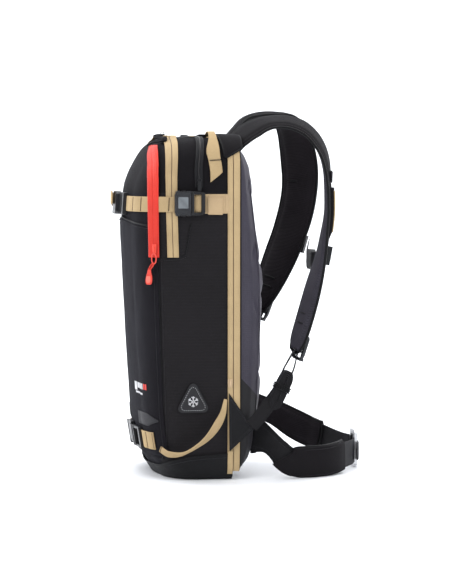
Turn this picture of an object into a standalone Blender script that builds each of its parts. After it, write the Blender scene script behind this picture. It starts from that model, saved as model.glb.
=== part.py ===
"""Ski-touring avalanche airbag backpack, about 18 litres.

Frame: origin at the centre of the flat base, +Z up, +X towards the wearer
(the back panel and the harness), +Y towards the wearer's left.  Metres.
The hollow bag stands on its boot; the back panel is a door hinged at its
bottom edge, and it carries the harness and the hip belt.
"""
import math

import bpy
import bmesh
from mathutils import Matrix, Vector

for ob in list(bpy.data.objects):
    bpy.data.objects.remove(ob, do_unlink=True)

# ------------------------------------------------------------ driving sizes
TOP_Z = 0.500            # height of the bag
HALF_W = 0.130           # half of the bag's width
SPLIT_X = 0.046          # plane where the bag ends and the back panel starts
WALL = 0.0035            # bag wall: fabric, foam and lining
ROUND_Z, ROUND_Y = 0.042, 0.045      # rounding of the top edge
CORNER_X, CORNER_Y = 0.052, 0.072    # plan radii of the two front corners
CROWN = 0.005            # how far the front face bows
WEB = 0.025              # compression webbing
STRAP_T = 0.009          # shoulder strap thickness
BELT_W = 0.038           # hip belt webbing
DOOR_AXIS = Vector((0.0468, 0.0, 0.004))
HARNESS_AXIS = Vector((0.0772, 0.0, 0.5068))
BELT_AXIS = Vector((0.096, 0.0, 0.113))

# front face position on the centre plane, bottom to top
FRONT = [(0.0, -0.052), (0.010, -0.058), (0.022, -0.066), (0.040, -0.075), (0.077, -0.081), (0.114, -0.084),
         (0.206, -0.090), (0.298, -0.0945), (0.380, -0.098), (0.426, -0.095), (0.445, -0.089),
         (0.463, -0.080), (0.481, -0.070), (0.491, -0.061), (0.500, -0.046)]


# ------------------------------------------------------------ materials
def material(name, colour, rough, metal=0.0):
    m = bpy.data.materials.new(name)
    m.use_nodes = True
    b = m.node_tree.nodes["Principled BSDF"]
    b.inputs["Base Color"].default_value = (*colour, 1)
    b.inputs["Roughness"].default_value = rough
    b.inputs["Metallic"].default_value = metal
    m.diffuse_color = (*colour, 1)
    return m


BLACK = material("black_fabric", (0.024, 0.024, 0.028), 0.75)
GREY = material("back_foam", (0.085, 0.083, 0.105), 0.7)
TAN = material("tan_webbing", (0.56, 0.43, 0.28), 0.8)
RED = material("red_zip", (0.78, 0.055, 0.035), 0.55)
PLASTIC = material("black_plastic", (0.02, 0.02, 0.022), 0.35)
DARKWEB = material("black_webbing", (0.014, 0.014, 0.016), 0.7)
ALU = material("aluminium", (0.62, 0.62, 0.64), 0.3, 1.0)
STEEL = material("cylinder_steel", (0.16, 0.17, 0.19), 0.35, 1.0)
BLADDER = material("bladder_fabric", (0.85, 0.20, 0.03), 0.5)
RUBBER = material("badge_rubber", (0.03, 0.03, 0.032), 0.5)
SHEET = material("frame_sheet", (0.7, 0.7, 0.66), 0.5)


# ------------------------------------------------------------ helpers
def curve_at(table, z):
    """Smooth value between the rows of a table (cubic, finite-difference slopes)."""
    n = len(table)
    if z <= table[0][0]:
        return table[0][1]
    if z >= table[-1][0]:
        return table[-1][1]
    i = max(k for k in range(n - 1) if table[k][0] <= z)

    def slope(k):
        a, b = max(k - 1, 0), min(k + 1, n - 1)
        return (table[b][1] - table[a][1]) / (table[b][0] - table[a][0])

    h = table[i + 1][0] - table[i][0]
    t = (z - table[i][0]) / h
    p0, p1, m0, m1 = table[i][1], table[i + 1][1], slope(i) * h, slope(i + 1) * h
    return ((2 * t**3 - 3 * t**2 + 1) * p0 + (t**3 - 2 * t**2 + t) * m0
            + (-2 * t**3 + 3 * t**2) * p1 + (t**3 - t**2) * m1)


def smooth_path(points, n, *companions):
    """n evenly spaced points on a Catmull-Rom curve; companion lists ride along."""
    rows = [Vector(p) for p in points]
    lists = [rows] + [[Vector(c) for c in comp] for comp in companions]
    ext = [[li[0] * 2 - li[1]] + li + [li[-1] * 2 - li[-2]] for li in lists]
    fine = []
    for i in range(1, len(rows)):
        for k in range(12):
            t = k / 12
            fine.append([0.5 * ((2 * e[i]) + (e[i + 1] - e[i - 1]) * t
                                + (2 * e[i - 1] - 5 * e[i] + 4 * e[i + 1] - e[i + 2]) * t * t
                                + (3 * e[i] - e[i - 1] - 3 * e[i + 1] + e[i + 2]) * t**3) for e in ext])
    fine.append([li[-1] for li in lists])
    lengths = [0.0]
    for a, b in zip(fine, fine[1:]):
        lengths.append(lengths[-1] + (b[0] - a[0]).length)
    out, j = [], 0
    for k in range(n):
        want = lengths[-1] * k / (n - 1)
        while j < len(fine) - 2 and lengths[j + 1] < want:
            j += 1
        span = lengths[j + 1] - lengths[j]
        f = 0 if span < 1e-12 else min(max((want - lengths[j]) / span, 0), 1)
        out.append([p.lerp(q, f) for p, q in zip(fine[j], fine[j + 1])])
    return [list(col) for col in zip(*out)]


def make(name, verts, faces, mat, origin=(0, 0, 0), parent=None, smooth=True):
    """One mesh object from world coordinates, with its origin where asked."""
    o = Vector(origin)
    me = bpy.data.meshes.new(name)
    me.from_pydata([tuple(Vector(v) - o) for v in verts], [], faces)
    bm = bmesh.new()
    bm.from_mesh(me)
    bmesh.ops.remove_doubles(bm, verts=bm.verts, dist=1e-6)
    bmesh.ops.recalc_face_normals(bm, faces=bm.faces)
    bm.to_mesh(me)
    bm.free()
    me.materials.append(mat)
    ob = bpy.data.objects.new(name, me)
    bpy.context.scene.collection.objects.link(ob)
    ob.location = o
    if smooth:
        me.shade_smooth()
        me.set_sharp_from_angle(angle=math.radians(35))
    if parent is not None:
        ob.parent = parent
        ob.location = o - parent.matrix_world.translation
    return ob


def pivot(name, at, parent=None):
    e = bpy.data.objects.new(name, None)
    bpy.context.scene.collection.objects.link(e)
    e.location = at
    if parent is not None:
        e.parent = parent
        e.location = Vector(at) - parent.matrix_world.translation
    bpy.context.view_layer.update()
    return e


def loft(name, rings, mat, **kw):
    """Closed solid through rings of equal point count, capped at both ends."""
    n = len(rings[0])
    verts = [v for r in rings for v in r]
    faces = []
    for i in range(len(rings) - 1):
        for j in range(n):
            a, b = i * n + j, i * n + (j + 1) % n
            faces.append((a, b, b + n, a + n))
    faces.append(tuple(range(n)))
    faces.append(tuple(range((len(rings) - 1) * n, len(rings) * n)))
    return make(name, verts, faces, mat, **kw)


def band(name, stations, mat, **kw):
    """Flat strip: each station is (inner edge a, inner edge b, outer b, outer a)."""
    return loft(name, stations, mat, **kw)


def box_mesh(lo, hi, M):
    x0, y0, z0 = lo
    x1, y1, z1 = hi
    v = [M @ Vector(p) for p in ((x0, y0, z0), (x1, y0, z0), (x1, y1, z0), (x0, y1, z0),
                                 (x0, y0, z1), (x1, y0, z1), (x1, y1, z1), (x0, y1, z1))]
    f = [(0, 3, 2, 1), (4, 5, 6, 7), (0, 1, 5, 4), (1, 2, 6, 5), (2, 3, 7, 6), (3, 0, 4, 7)]
    return v, f


def plate(name, outline, t0, t1, M, mat, holes=(), **kw):
    """Extruded outline with rectangular through slots, in the local frame M."""
    lo = [M @ Vector((x, y, t0)) for x, y in outline]
    hi = [M @ Vector((x, y, t1)) for x, y in outline]
    ob = loft(name, [lo, hi], mat, smooth=False, **kw)
    for k, (xa, ya, xb, yb) in enumerate(holes):
        cut(ob, f"{name}_slot{k}", *box_mesh((xa, ya, t0 - 0.002), (xb, yb, t1 + 0.002), M))
    return ob


def hidden(name, verts, faces, mat=PLASTIC):
    c = make(name, verts, faces, mat, smooth=False)
    c.hide_render = True
    c.display_type = "WIRE"
    return c


def boolean(ob, other, op):
    m = ob.modifiers.new(op.lower(), "BOOLEAN")
    m.object = other
    m.operation = op
    m.solver = "EXACT"


def cut(ob, name, verts, faces):
    boolean(ob, hidden(name, verts, faces), "DIFFERENCE")


def join(ob, name, verts, faces):
    boolean(ob, hidden(name, verts, faces), "UNION")


def chamfered(w, h, c):
    """Rectangle w by h about the origin with cut corners, as (x, y) pairs."""
    x, y = w / 2, h / 2
    return [(-x + c, -y), (x - c, -y), (x, -y + c), (x, y - c), (x - c, y), (-x + c, y), (-x, y - c), (-x, -y + c)]


# ------------------------------------------------------------ the bag's surface
def half_w(z):
    return HALF_W - 0.006 * max(0.0, 1 - z / 0.10) ** 2


def edge_level(psi_deg, off=0.0):
    """Height and inset of the rounded top edge at an angle, offset outwards."""
    psi = math.radians(psi_deg)
    return TOP_Z - ROUND_Z + (ROUND_Z + off) * math.sin(psi), ROUND_Y - (ROUND_Y + off) * math.cos(psi)


def inset_at(z):
    """Side inset at height z on the bag itself."""
    lo = TOP_Z - ROUND_Z
    if z > lo:
        return ROUND_Y * (1 - math.sqrt(max(0.0, 1 - ((z - lo) / ROUND_Z) ** 2)))
    if z < 0.020:
        return 0.010 * (1 - math.sqrt(max(0.0, 1 - ((0.020 - z) / 0.020) ** 2)))
    return 0.0


def side_point(side, x, z, off=0.0, inset=None):
    """Point of the bag's skin at a given x, on the side or on a front corner."""
    if inset is None:
        inset = inset_at(min(z, TOP_Z)) - off
    front = curve_at(FRONT, min(z, TOP_Z)) - off + CROWN
    y_c = HALF_W - CORNER_Y - 0.5 * max(inset, 0)
    c = half_w(z) - inset - y_c
    x_c = front + CORNER_X + off - CROWN
    d = x_c - front
    y = half_w(z) - inset
    if x < x_c:
        s = min((x_c - x) / d, 1.0)
        y = y_c + c * math.sqrt(max(0.0, 1 - s * s))
    return Vector((x, side * y, z))


def round_point(q, z, off=0.0, inset=None):
    """Point of the skin round the front: q 0..1 is the near corner, 1..2 the
    front face from near to far, 2..3 the far corner."""
    if inset is None:
        inset = inset_at(min(z, TOP_Z)) - off
    front = curve_at(FRONT, min(z, TOP_Z)) - off
    y_c = HALF_W - CORNER_Y - 0.5 * max(inset, 0)
    c = half_w(z) - inset - y_c
    x_c = front + CORNER_X + off
    d = x_c - (front + CROWN)
    if q <= 1:
        a = q * math.pi / 2
        return Vector((x_c - d * math.sin(a), -(y_c + c * math.cos(a)), z))
    if q >= 2:
        a = (3 - q) * math.pi / 2
        return Vector((x_c - d * math.sin(a), y_c + c * math.cos(a), z))
    y = (q - 1.5) * 2 * y_c
    return Vector((front + CROWN * (y / y_c) ** 2, y, z))


def plan_ring(z, off=0.0, inset=None, x_back=SPLIT_X, corner=6, front=4, side=3):
    """Closed plan outline of the bag at one level, near side first."""
    near = [round_point(k / corner, z, off, inset) for k in range(corner + 1)]
    x0 = near[0].x
    ring = []
    for k in range(side):
        x = x_back + (x0 - x_back) * k / side
        ring.append(Vector((x, near[0].y, z)))
    ring += near
    ring += [round_point(1 + k / front, z, off, inset) for k in range(1, front)]
    ring += [round_point(2 + k / corner, z, off, inset) for k in range(corner + 1)]
    for k in range(side - 1, -1, -1):
        x = x_back + (x0 - x_back) * k / side
        ring.append(Vector((x, -near[0].y, z)))
    return ring


def bag_rings(off, z0, levels, x_back, psis=(20, 40, 58, 74, 90)):
    rings = [plan_ring(z, off, None, x_back) for z in levels if z >= z0]
    for p in psis:
        z, inset = edge_level(p, off)
        rings.append(plan_ring(z, off, inset, x_back))
    return rings


# ------------------------------------------------------------ the bag
LEVELS = [0.0038, 0.008, 0.014, 0.022, 0.045, 0.085, 0.14, 0.21, 0.29, 0.35, 0.40, 0.43, 0.445, 0.4575]
bag = loft("main_bag", bag_rings(0.0, 0.0, LEVELS, SPLIT_X), BLACK)
INNER = [0.009, 0.022, 0.045, 0.085, 0.14, 0.21, 0.29, 0.35, 0.40, 0.43, 0.445, 0.4575]
cav = loft("bag_cavity", bag_rings(-WALL, 0.0, INNER, SPLIT_X + 0.01), BLACK)
cav.hide_render = True
cav.display_type = "WIRE"
boolean(bag, cav, "DIFFERENCE")

BOOT_LEVELS = [0.0, 0.004, 0.009, 0.016, 0.022, 0.030]
boot = loft("base_boot", [plan_ring(z, 0.0027, None, SPLIT_X) for z in BOOT_LEVELS], BLACK)
tray = loft("boot_tray", [plan_ring(z, 0.0006, None, SPLIT_X + 0.01)
                          for z in [0.0034, 0.0075, 0.014, 0.022, 0.040]], BLACK)
tray.hide_render = True
tray.display_type = "WIRE"
boolean(boot, tray, "DIFFERENCE")

# outer front panel, a separate layer over the lower front
def layer(name, qs, zs, o0, o1, mat, **kw):
    """Curved layer round the front between two offsets from the skin."""
    nq, nz = len(qs), len(zs)
    verts = [round_point(q, z, o) for o in (o0, o1) for z in zs for q in qs]
    faces = []

    def at(o, i, j):
        return (o * nz + i) * nq + j

    for o in (0, 1):
        for i in range(nz - 1):
            for j in range(nq - 1):
                faces.append((at(o, i, j), at(o, i, j + 1), at(o, i + 1, j + 1), at(o, i + 1, j)))
    for i in range(nz - 1):
        for j in (0, nq - 1):
            faces.append((at(0, i, j), at(0, i + 1, j), at(1, i + 1, j), at(1, i, j)))
    for j in range(nq - 1):
        for i in (0, nz - 1):
            faces.append((at(0, i, j), at(0, i, j + 1), at(1, i, j + 1), at(1, i, j)))
    return make(name, verts, faces, mat, **kw)


layer("front_panel", [0.66, 0.78, 0.89, 1.0, 1.25, 1.5, 1.75, 2.0, 2.11, 2.22, 2.34],
      [0.034, 0.045, 0.065, 0.09, 0.14, 0.21, 0.29, 0.345, 0.370], 0.0012, 0.0028, BLACK)


# ------------------------------------------------------------ zips and tapes
def over_tape(name, track, width, o0, o1, mat, x_top, edge=(20, 40, 58, 66, 74, 82, 90), cross=4, both=True,
              lift=0.0012, **kw):
    """Tape up the near side, over the top and down the far side.
    track lists (z, x) up the wall; x_top is where it crosses the top."""
    stations = []

    def station(side, x, z_of, inset_of):
        pts = []
        for o, sx in ((o0, -1), (o0, -0.33), (o0, 0.33), (o0, 1), (o1, 1), (o1, 0.33), (o1, -0.33), (o1, -1)):
            xx = x + sx * width / 2
            pts.append(side_point(side, xx, z_of(o), o, inset_of(o)))
        return pts

    x_end = track[-1][1]
    near = []
    for z, x in track:
        near.append((x, lambda o, z=z: z, lambda o, z=z: inset_at(z) - o))
    for p in edge:
        up = lift if p > 45 else 0.0
        near.append((x_end + (x_top - x_end) * p / 90, lambda o, p=p, up=up: edge_level(p, o + up)[0],
                     lambda o, p=p, up=up: edge_level(p, o + up)[1]))
    for x, zf, inf in near:
        stations.append(station(-1, x, zf, inf))
    a, b = stations[-1], station(1, x_top, near[-1][1], near[-1][2])
    for k in range(1, cross):
        stations.append([p.lerp(q, k / cross) for p, q in zip(a, b)])
    if both:
        for x, zf, inf in reversed(near):
            stations.append(station(1, x, zf, inf))
    return band(name, stations, mat, **kw)


def corner_tape(name, track, half_q, o0, o1, mat, **kw):
    """Tape that climbs the near front corner: track lists (z or None, angle or None, q)."""
    stations = []
    for z, p, q in track:
        pts = []
        for o, s in ((o0, -1), (o0, 0), (o0, 1), (o1, 1), (o1, 0), (o1, -1)):
            zz, ins = (z, inset_at(z) - o) if p is None else edge_level(p, o)
            pts.append(round_point(q + s * half_q, zz, o, ins))
        stations.append(pts)
    return band(name, stations, mat, **kw)


TOOL_TRACK = [(0.326, None, 0.365), (0.365, None, 0.36), (0.405, None, 0.36), (0.430, None, 0.39), (0.4575, None, 0.45),
              (None, 14, 0.55), (None, 28, 0.66), (None, 42, 0.78)]
corner_tape("tool_zip_tape", TOOL_TRACK, 0.088, 0.0049, 0.0061, RED)
BURST_TRACK = [(0.326, -0.0425), (0.36, -0.0435), (0.40, -0.0443), (0.43, -0.0442), (0.445, -0.0438), (0.4575, -0.0430)]
over_tape("airbag_zip_tape", BURST_TRACK, 0.0165, 0.0014, 0.0025, TAN, x_top=-0.0355)
TOPZ_TRACK = [(0.426, -0.0045), (0.442, -0.0048), (0.4575, -0.0052)]
over_tape("top_zip_tape", TOPZ_TRACK, 0.0125, 0.0008, 0.0020, BLACK, x_top=-0.0052)


def back_outline(off, z0=0.012):
    """Half outline of the bag's back edge in the YZ plane, near side, bottom up."""
    pts = []
    for z in [z0] + [z for z in (0.022, 0.06, 0.12, 0.24, 0.36, 0.4575) if z > z0 + 0.004]:
        pts.append((-(half_w(z) - (inset_at(z) - off)), z))
    for p in (20, 40, 58, 74, 90):
        z, i = edge_level(p, off)
        pts.append((-(half_w(z) - i), z))
    return pts


def hoop(name, x0, x1, o0, o1, mat, z0=0.012, **kw):
    """U-shaped tape round the back edge: up one side, over the top, down the other."""
    def full(o):
        half = back_outline(o, z0)
        return half + [(-y, z) for y, z in reversed(half)]

    inner, outer = full(o0), full(o1)
    stations = [[Vector((x0, a[0], a[1])), Vector((x1, a[0], a[1])), Vector((x1, b[0], b[1])), Vector((x0, b[0], b[1]))]
                for a, b in zip(inner, outer)]
    return band(name, stations, mat, **kw)


hoop("back_zip_outer_tape", 0.0360, 0.0455, 0.0006, 0.0019, TAN, z0=0.032)

# ------------------------------------------------------------ moving bodies
door = pivot("back_door_pivot", DOOR_AXIS)
harness = pivot("harness_pivot", HARNESS_AXIS, door)
belt = pivot("belt_pivot", BELT_AXIS, door)

hoop("back_zip_inner_tape", 0.0470, 0.0560, -0.0016, -0.0004, TAN, z0=0.014, parent=door, origin=DOOR_AXIS)

# back panel: moulded foam, a closed form that swells from the tape plane
# profile of the panel's rearmost face, height against x
PANEL = [(0.010, 0.080), (0.05, 0.086), (0.12, 0.0915), (0.17, 0.094), (0.22, 0.0965), (0.28, 0.0965), (0.32, 0.094),
         (0.36, 0.0895), (0.40, 0.084), (0.44, 0.078), (0.47, 0.071), (0.49, 0.060)]


def panel_ring(depth, inset):
    """Closed outline of the back panel, inset from the bag's outline; depth 0..1
    runs from the split plane to the rearmost face."""
    half = []
    lo = 0.010 + inset * 0.55
    for z in (lo, lo + 0.008, 0.05, 0.10, 0.18, 0.26, 0.34, 0.40, 0.44):
        z = max(z, lo)
        half.append((-(half_w(z) - inset_at(z) - inset), z))
    half[0] = (half[0][0] + 0.012, half[0][1])
    for p in (15, 35, 55, 75):
        psi = math.radians(p)
        rz, ry = ROUND_Z, ROUND_Y
        z = TOP_Z - rz - inset + rz * math.sin(psi)
        half.append((-(HALF_W - inset - ry + ry * math.cos(psi)), z))
    pts = half + [(-y, z) for y, z in reversed(half)]
    x0 = SPLIT_X + 0.0008
    out = []
    for y, z in pts:
        xb = curve_at(PANEL, z)
        out.append(Vector((x0 + (xb - x0) * depth, y, z)))
    return out


back_panel = loft("back_panel", [panel_ring(0.0, 0.0022), panel_ring(0.26, 0.0022), panel_ring(0.55, 0.0065), panel_ring(0.85, 0.021),
                    panel_ring(1.0, 0.042)], GREY, parent=door, origin=DOOR_AXIS)

# frame sheet behind the foam, inside the bag's mouth
plate("frame_sheet", [(x, z) for x, z in chamfered(0.210, 0.420, 0.03)], 0.0, 0.0016,
      Matrix.Translation((0.0438, 0, 0.245)) @ Matrix(((0, 0, 1, 0), (1, 0, 0, 0), (0, 1, 0, 0), (0, 0, 0, 1))),
      SHEET, parent=door, origin=DOOR_AXIS)


# ------------------------------------------------------------ swept pieces
def frames(path, wdirs):
    out = []
    for i, p in enumerate(path):
        t = (path[min(i + 1, len(path) - 1)] - path[max(i - 1, 0)]).normalized()
        w = wdirs[i] - t * wdirs[i].dot(t)
        w.normalize()
        out.append((p, t, w, t.cross(w)))
    return out


def sweep_rings(pts, wds, widths, thick, n, sect=8):
    path, wpath, wid = smooth_path(pts, n, wds, [(w, 0, 0) for w in widths])
    rings = []
    for (p, t, w, nrm), width in zip(frames(path, wpath), wid):
        a, b = width.x / 2, thick / 2
        if sect == 8:
            c = min(b * 0.8, a * 0.4)
            uv = [(-a, -b + c * 0.5), (-a + c, -b), (a - c, -b), (a, -b + c * 0.5), (a, b - c * 0.5), (a - c, b),
                  (-a + c, b), (-a, b - c * 0.5)]
        else:
            uv = [(-a, -b), (a, -b), (a, b), (-a, b)]
        rings.append([p + w * u + nrm * v for u, v in uv])
    return rings


def swept(name, pts, wds, widths, thick, n, mat, sect=8, **kw):
    """Strip of rounded section along a path, with a width direction at each point."""
    return loft(name, sweep_rings(pts, wds, widths, thick, n, sect), mat, **kw)


# shoulder straps: centre line, and the direction across the strap from its
# right edge to its left edge
R_LINE = [(0.0763, -0.078, 0.5074), (0.0850, -0.078, 0.5118), (0.0970, -0.078, 0.5185), (0.1120, -0.078, 0.5225),
          (0.1370, -0.079, 0.5225), (0.1620, -0.081, 0.5135), (0.1805, -0.086, 0.4935), (0.1910, -0.090, 0.4670),
          (0.1940, -0.094, 0.4297), (0.1935, -0.098, 0.3928), (0.1885, -0.102, 0.3604), (0.1810, -0.105, 0.3220),
          (0.1710, -0.106, 0.2820), (0.1605, -0.105, 0.2425), (0.1490, -0.104, 0.2040), (0.1440, -0.103, 0.1880)]
R_WIDE = [(0, 0.93, 0.36), (0, 0.94, 0.33), (0, 0.96, 0.27), (0, 0.97, 0.24), (0.05, 0.95, 0.28), (0.16, 0.93, 0.32),
          (0.30, 0.92, 0.22), (0.30, 0.95, 0.08), (0.20, 0.98, 0), (0.17, 0.98, 0), (0.10, 0.99, 0), (-0.04, 1, 0),
          (-0.17, 0.98, 0), (-0.24, 0.97, 0), (-0.30, 0.95, 0), (-0.32, 0.94, 0)]
L_LINE = [(0.0789, 0.0615, 0.5073), (0.0840, 0.062, 0.5128), (0.1000, 0.065, 0.5280), (0.1219, 0.068, 0.5345),
          (0.1430, 0.072, 0.5350), (0.1635, 0.077, 0.5290), (0.1765, 0.082, 0.5123), (0.1840, 0.086, 0.4890),
          (0.1890, 0.090, 0.4630), (0.1910, 0.092, 0.4384), (0.1900, 0.093, 0.4170), (0.1865, 0.094, 0.3940),
          (0.1805, 0.094, 0.3710), (0.1720, 0.093, 0.3465), (0.1596, 0.092, 0.3157), (0.1448, 0.090, 0.2820),
          (0.1320, 0.088, 0.2545), (0.1244, 0.086, 0.2360)]
L_WIDE = [(0, 0.98, -0.10), (0, 0.99, -0.10), (0, 1, -0.05), (0, 1, 0), (-0.03, 1, -0.03), (-0.22, 0.95, -0.18),
          (-0.50, 0.84, -0.20), (-0.68, 0.72, -0.12), (-0.77, 0.64, -0.04), (-0.78, 0.63, 0), (-0.78, 0.63, 0),
          (-0.78, 0.63, 0), (-0.78, 0.63, 0), (-0.77, 0.64, 0), (-0.76, 0.65, 0), (-0.74, 0.67, 0), (-0.70, 0.71, 0),
          (-0.68, 0.73, 0)]
W_R = [0.064, 0.065, 0.066, 0.066, 0.064, 0.062, 0.061, 0.060, 0.058, 0.057, 0.057, 0.057, 0.056, 0.052, 0.042, 0.024]
W_L = [0.062, 0.063, 0.064, 0.064, 0.063, 0.062, 0.061, 0.060, 0.060, 0.059, 0.058, 0.058, 0.058, 0.057, 0.056, 0.050,
       0.040, 0.024]
swept("shoulder_strap_right", R_LINE, R_WIDE, W_R, STRAP_T, 24, BLACK, parent=harness, origin=HARNESS_AXIS)
swept("shoulder_strap_left", L_LINE, L_WIDE, W_L, STRAP_T, 24, BLACK, parent=harness, origin=HARNESS_AXIS)

# each strap starts from a padded stub on the panel's top edge
for tag, y, pts in (("right", -0.078, [(0.054, 0.467), (0.061, 0.486), (0.067, 0.4985), (0.0735, 0.5050)]),
                    ("left", 0.0610, [(0.056, 0.474), (0.0625, 0.4862), (0.069, 0.4957), (0.0766, 0.5045)])):
    rings = sweep_rings([(x, y, z) for x, z in pts], [(0, 0.93, 0.36 if y < 0 else -0.10)] * 4, [0.058, 0.060, 0.062, 0.063],
                        STRAP_T - 0.001, 6)
    verts = [v for r in rings for v in r]
    faces = [(i * 8 + j, i * 8 + (j + 1) % 8, i * 8 + 8 + (j + 1) % 8, i * 8 + 8 + j) for i in range(5) for j in range(8)]
    faces += [tuple(range(8)), tuple(range(40, 48))]
    join(back_panel, f"yoke_{tag}", verts, faces)

# triangular anchors sewn to the lower corners of the back panel, over its tape
for side, tag in ((-1, "right"), (1, "left")):
    tri = [(0.0405, 0.126), (0.0740, 0.083), (0.0800, 0.074), (0.0740, 0.066), (0.0405, 0.041)]
    rings = [[Vector((x, side * (HALF_W + 0.0028 - 0.0026 * (x - 0.0405) / 0.0335 + o), z)) for x, z in tri] for o in (0, 0.0020)]
    loft(f"strap_anchor_{tag}", rings, DARKWEB, smooth=False, parent=door, origin=DOOR_AXIS)


def box(name, lo, hi, M, mat, **kw):
    return make(name, *box_mesh(lo, hi, M), mat, smooth=False, **kw)


# lower webbing from each anchor up to the strap's end
swept("lower_webbing_right", [(0.0835, -0.1335, 0.0770), (0.100, -0.1320, 0.0960), (0.1130, -0.1270, 0.1200),
                              (0.1240, -0.1200, 0.1440), (0.1350, -0.1120, 0.1640), (0.1425, -0.1040, 0.1775)],
      [(-0.55, 0.25, 0.60), (-0.6, 0.45, 0.5), (-0.62, 0.6, 0.35), (-0.55, 0.75, 0.25), (-0.4, 0.88, 0.15), (-0.33, 0.94, 0)],
      [0.020] * 6, 0.0014, 12, DARKWEB, sect=4, parent=door, origin=DOOR_AXIS)
swept("lower_webbing_left", [(0.0875, 0.1335, 0.0800), (0.093, 0.1320, 0.1050), (0.1010, 0.1230, 0.1400),
                             (0.1090, 0.1100, 0.1800), (0.1160, 0.0960, 0.2100), (0.1205, 0.0880, 0.2270)],
      [(-0.45, -0.25, 0.70), (-0.6, 0.1, 0.5), (-0.62, 0.4, 0.35), (-0.64, 0.6, 0.25), (-0.64, 0.72, 0.15), (-0.62, 0.78, 0)],
      [0.020] * 6, 0.0014, 12, DARKWEB, sect=4, parent=door, origin=DOOR_AXIS)


def along(path, wide, n, i):
    """Frame on a strap at station i of n: x along, y across, z out of the strap."""
    p, t, w, nrm = frames(*smooth_path(path, n, wide))[i]
    m = Matrix((t, w, nrm)).transposed().to_4x4()
    m.translation = p
    return m


# ladder-lock adjusters on the outer face of each strap's end
for tag, line, wide in (("right", R_LINE, R_WIDE), ("left", L_LINE, L_WIDE)):
    M = along(line, wide, 24, 22)
    out = -1 if (M.to_3x3() @ Vector((0, 0, 1))).x < 0 else 1
    base = STRAP_T / 2 + 0.0006
    t0, t1 = sorted((out * base, out * (base + 0.006)))
    plate(f"ladder_lock_{tag}", chamfered(0.034, 0.027, 0.005), t0, t1, M @ Matrix.Translation((0.006, 0, 0)), PLASTIC,
          holes=((-0.011, -0.0100, -0.007, 0.0100), (0.0005, -0.0100, 0.0055, 0.0100)), parent=harness, origin=HARNESS_AXIS)

# sleeve for the trigger handle on the right strap's outer face
M = along(R_LINE, R_WIDE, 24, 12)
OUT = -1 if (M.to_3x3() @ Vector((0, 0, 1))).x < 0 else 1
L0, L1 = -0.034, 0.030
base, high = STRAP_T / 2 + 0.0022, STRAP_T / 2 + 0.0080


def sign_range(a, b):
    return sorted((OUT * a, OUT * b))


t0, t1 = sign_range(base, high)
sleeve = box("trigger_sleeve", (L0, -0.017, t0), (L1, 0.017, t1), M, BLACK, parent=harness, origin=HARNESS_AXIS)
c0, c1 = sign_range(base + 0.0010, high - 0.0010)
cut(sleeve, "sleeve_bore", *box_mesh((L0 - 0.01, -0.0150, c0), (L1 - 0.004, 0.0150, c1), M))
h0, h1 = sign_range(base + 0.0014, high - 0.0014)
# T-shaped pull handle in the sleeve: shank and grip
TRIG = M.to_3x3() @ Vector((-1, 0, 0))
TRIG_AT = M @ Vector((-0.02, 0, (h0 + h1) / 2))
grip = box("trigger_handle", (-0.033, -0.0140, h0), (-0.010, 0.0140, h1), M, RED, origin=TRIG_AT, parent=harness)
join(grip, "trigger_shank", *box_mesh((-0.014, -0.0035, h0 + 0.0006), (0.024, 0.0035, h1 - 0.0006), M))

# ------------------------------------------------------------ chest strap
CH_R, CH_L = Vector((0.1882, -0.104, 0.3270)), Vector((0.1893, 0.0870, 0.3380))
CHEST_DIR = Vector((0.26, 0.0, 1.0)).normalized()
chest_at = (CH_R + CH_L) / 2
MR = Matrix.Translation(CH_R) @ Matrix.Rotation(math.radians(11), 4, "Y")
ML = Matrix.Translation(CH_L) @ Matrix.Rotation(math.radians(16), 4, "Y") @ Matrix.Rotation(math.radians(50), 4, "Z")
box("chest_clip_right", (0.0008, -0.012, -0.014), (0.0068, 0.012, 0.014), MR, PLASTIC, origin=chest_at, parent=harness)
box("chest_clip_left", (-0.0012, -0.010, -0.014), (0.0050, 0.011, 0.014), ML, PLASTIC, origin=chest_at, parent=harness)
swept("chest_webbing", [(0.1965, -0.104, 0.3268), (0.1970, -0.088, 0.3245), (0.1945, -0.065, 0.3205), (0.1890, -0.040, 0.3180), (0.1876, -0.0270, 0.3170)],
      [(0.20, 0, 1), (0.15, 0, 1), (0.05, 0, 1), (0, 0, 1), (0, 0, 1)], [0.020] * 5, 0.0014, 8, DARKWEB, sect=4, origin=chest_at, parent=harness)
CB = Matrix.Translation((0.1835, -0.0175, 0.3170)) @ Matrix.Rotation(math.radians(90), 4, "Z") @ Matrix.Rotation(math.radians(90), 4, "X")


def socket(name, M, mat, w=0.036, length=0.028, t=0.009, **kw):
    """Side-release buckle socket: hollow body open at +x, a web slot at -x."""
    h = w / 2
    out = [(-0.0085, -h * 0.78), (-0.002, -h), (length - 0.004, -h), (length, -h * 0.86), (length, h * 0.86),
           (length - 0.004, h), (-0.002, h), (-0.0085, h * 0.78)]
    ob = plate(name, out, 0.0, t, M, mat, holes=((-0.0055, -h * 0.66, -0.0020, h * 0.66),), **kw)
    cut(ob, name + "_bore", *box_mesh((0.0035, -h + 0.0028, 0.0016), (length + 0.003, h - 0.0028, t - 0.0016), M))
    for s in (-1, 1):
        y0, y1 = sorted((s * (h - 0.0050), s * (h + 0.004)))
        cut(ob, f"{name}_window{s}", *box_mesh((0.0090, y0, 0.0024), (0.0190, y1, t - 0.0024), M))
    return ob


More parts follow.
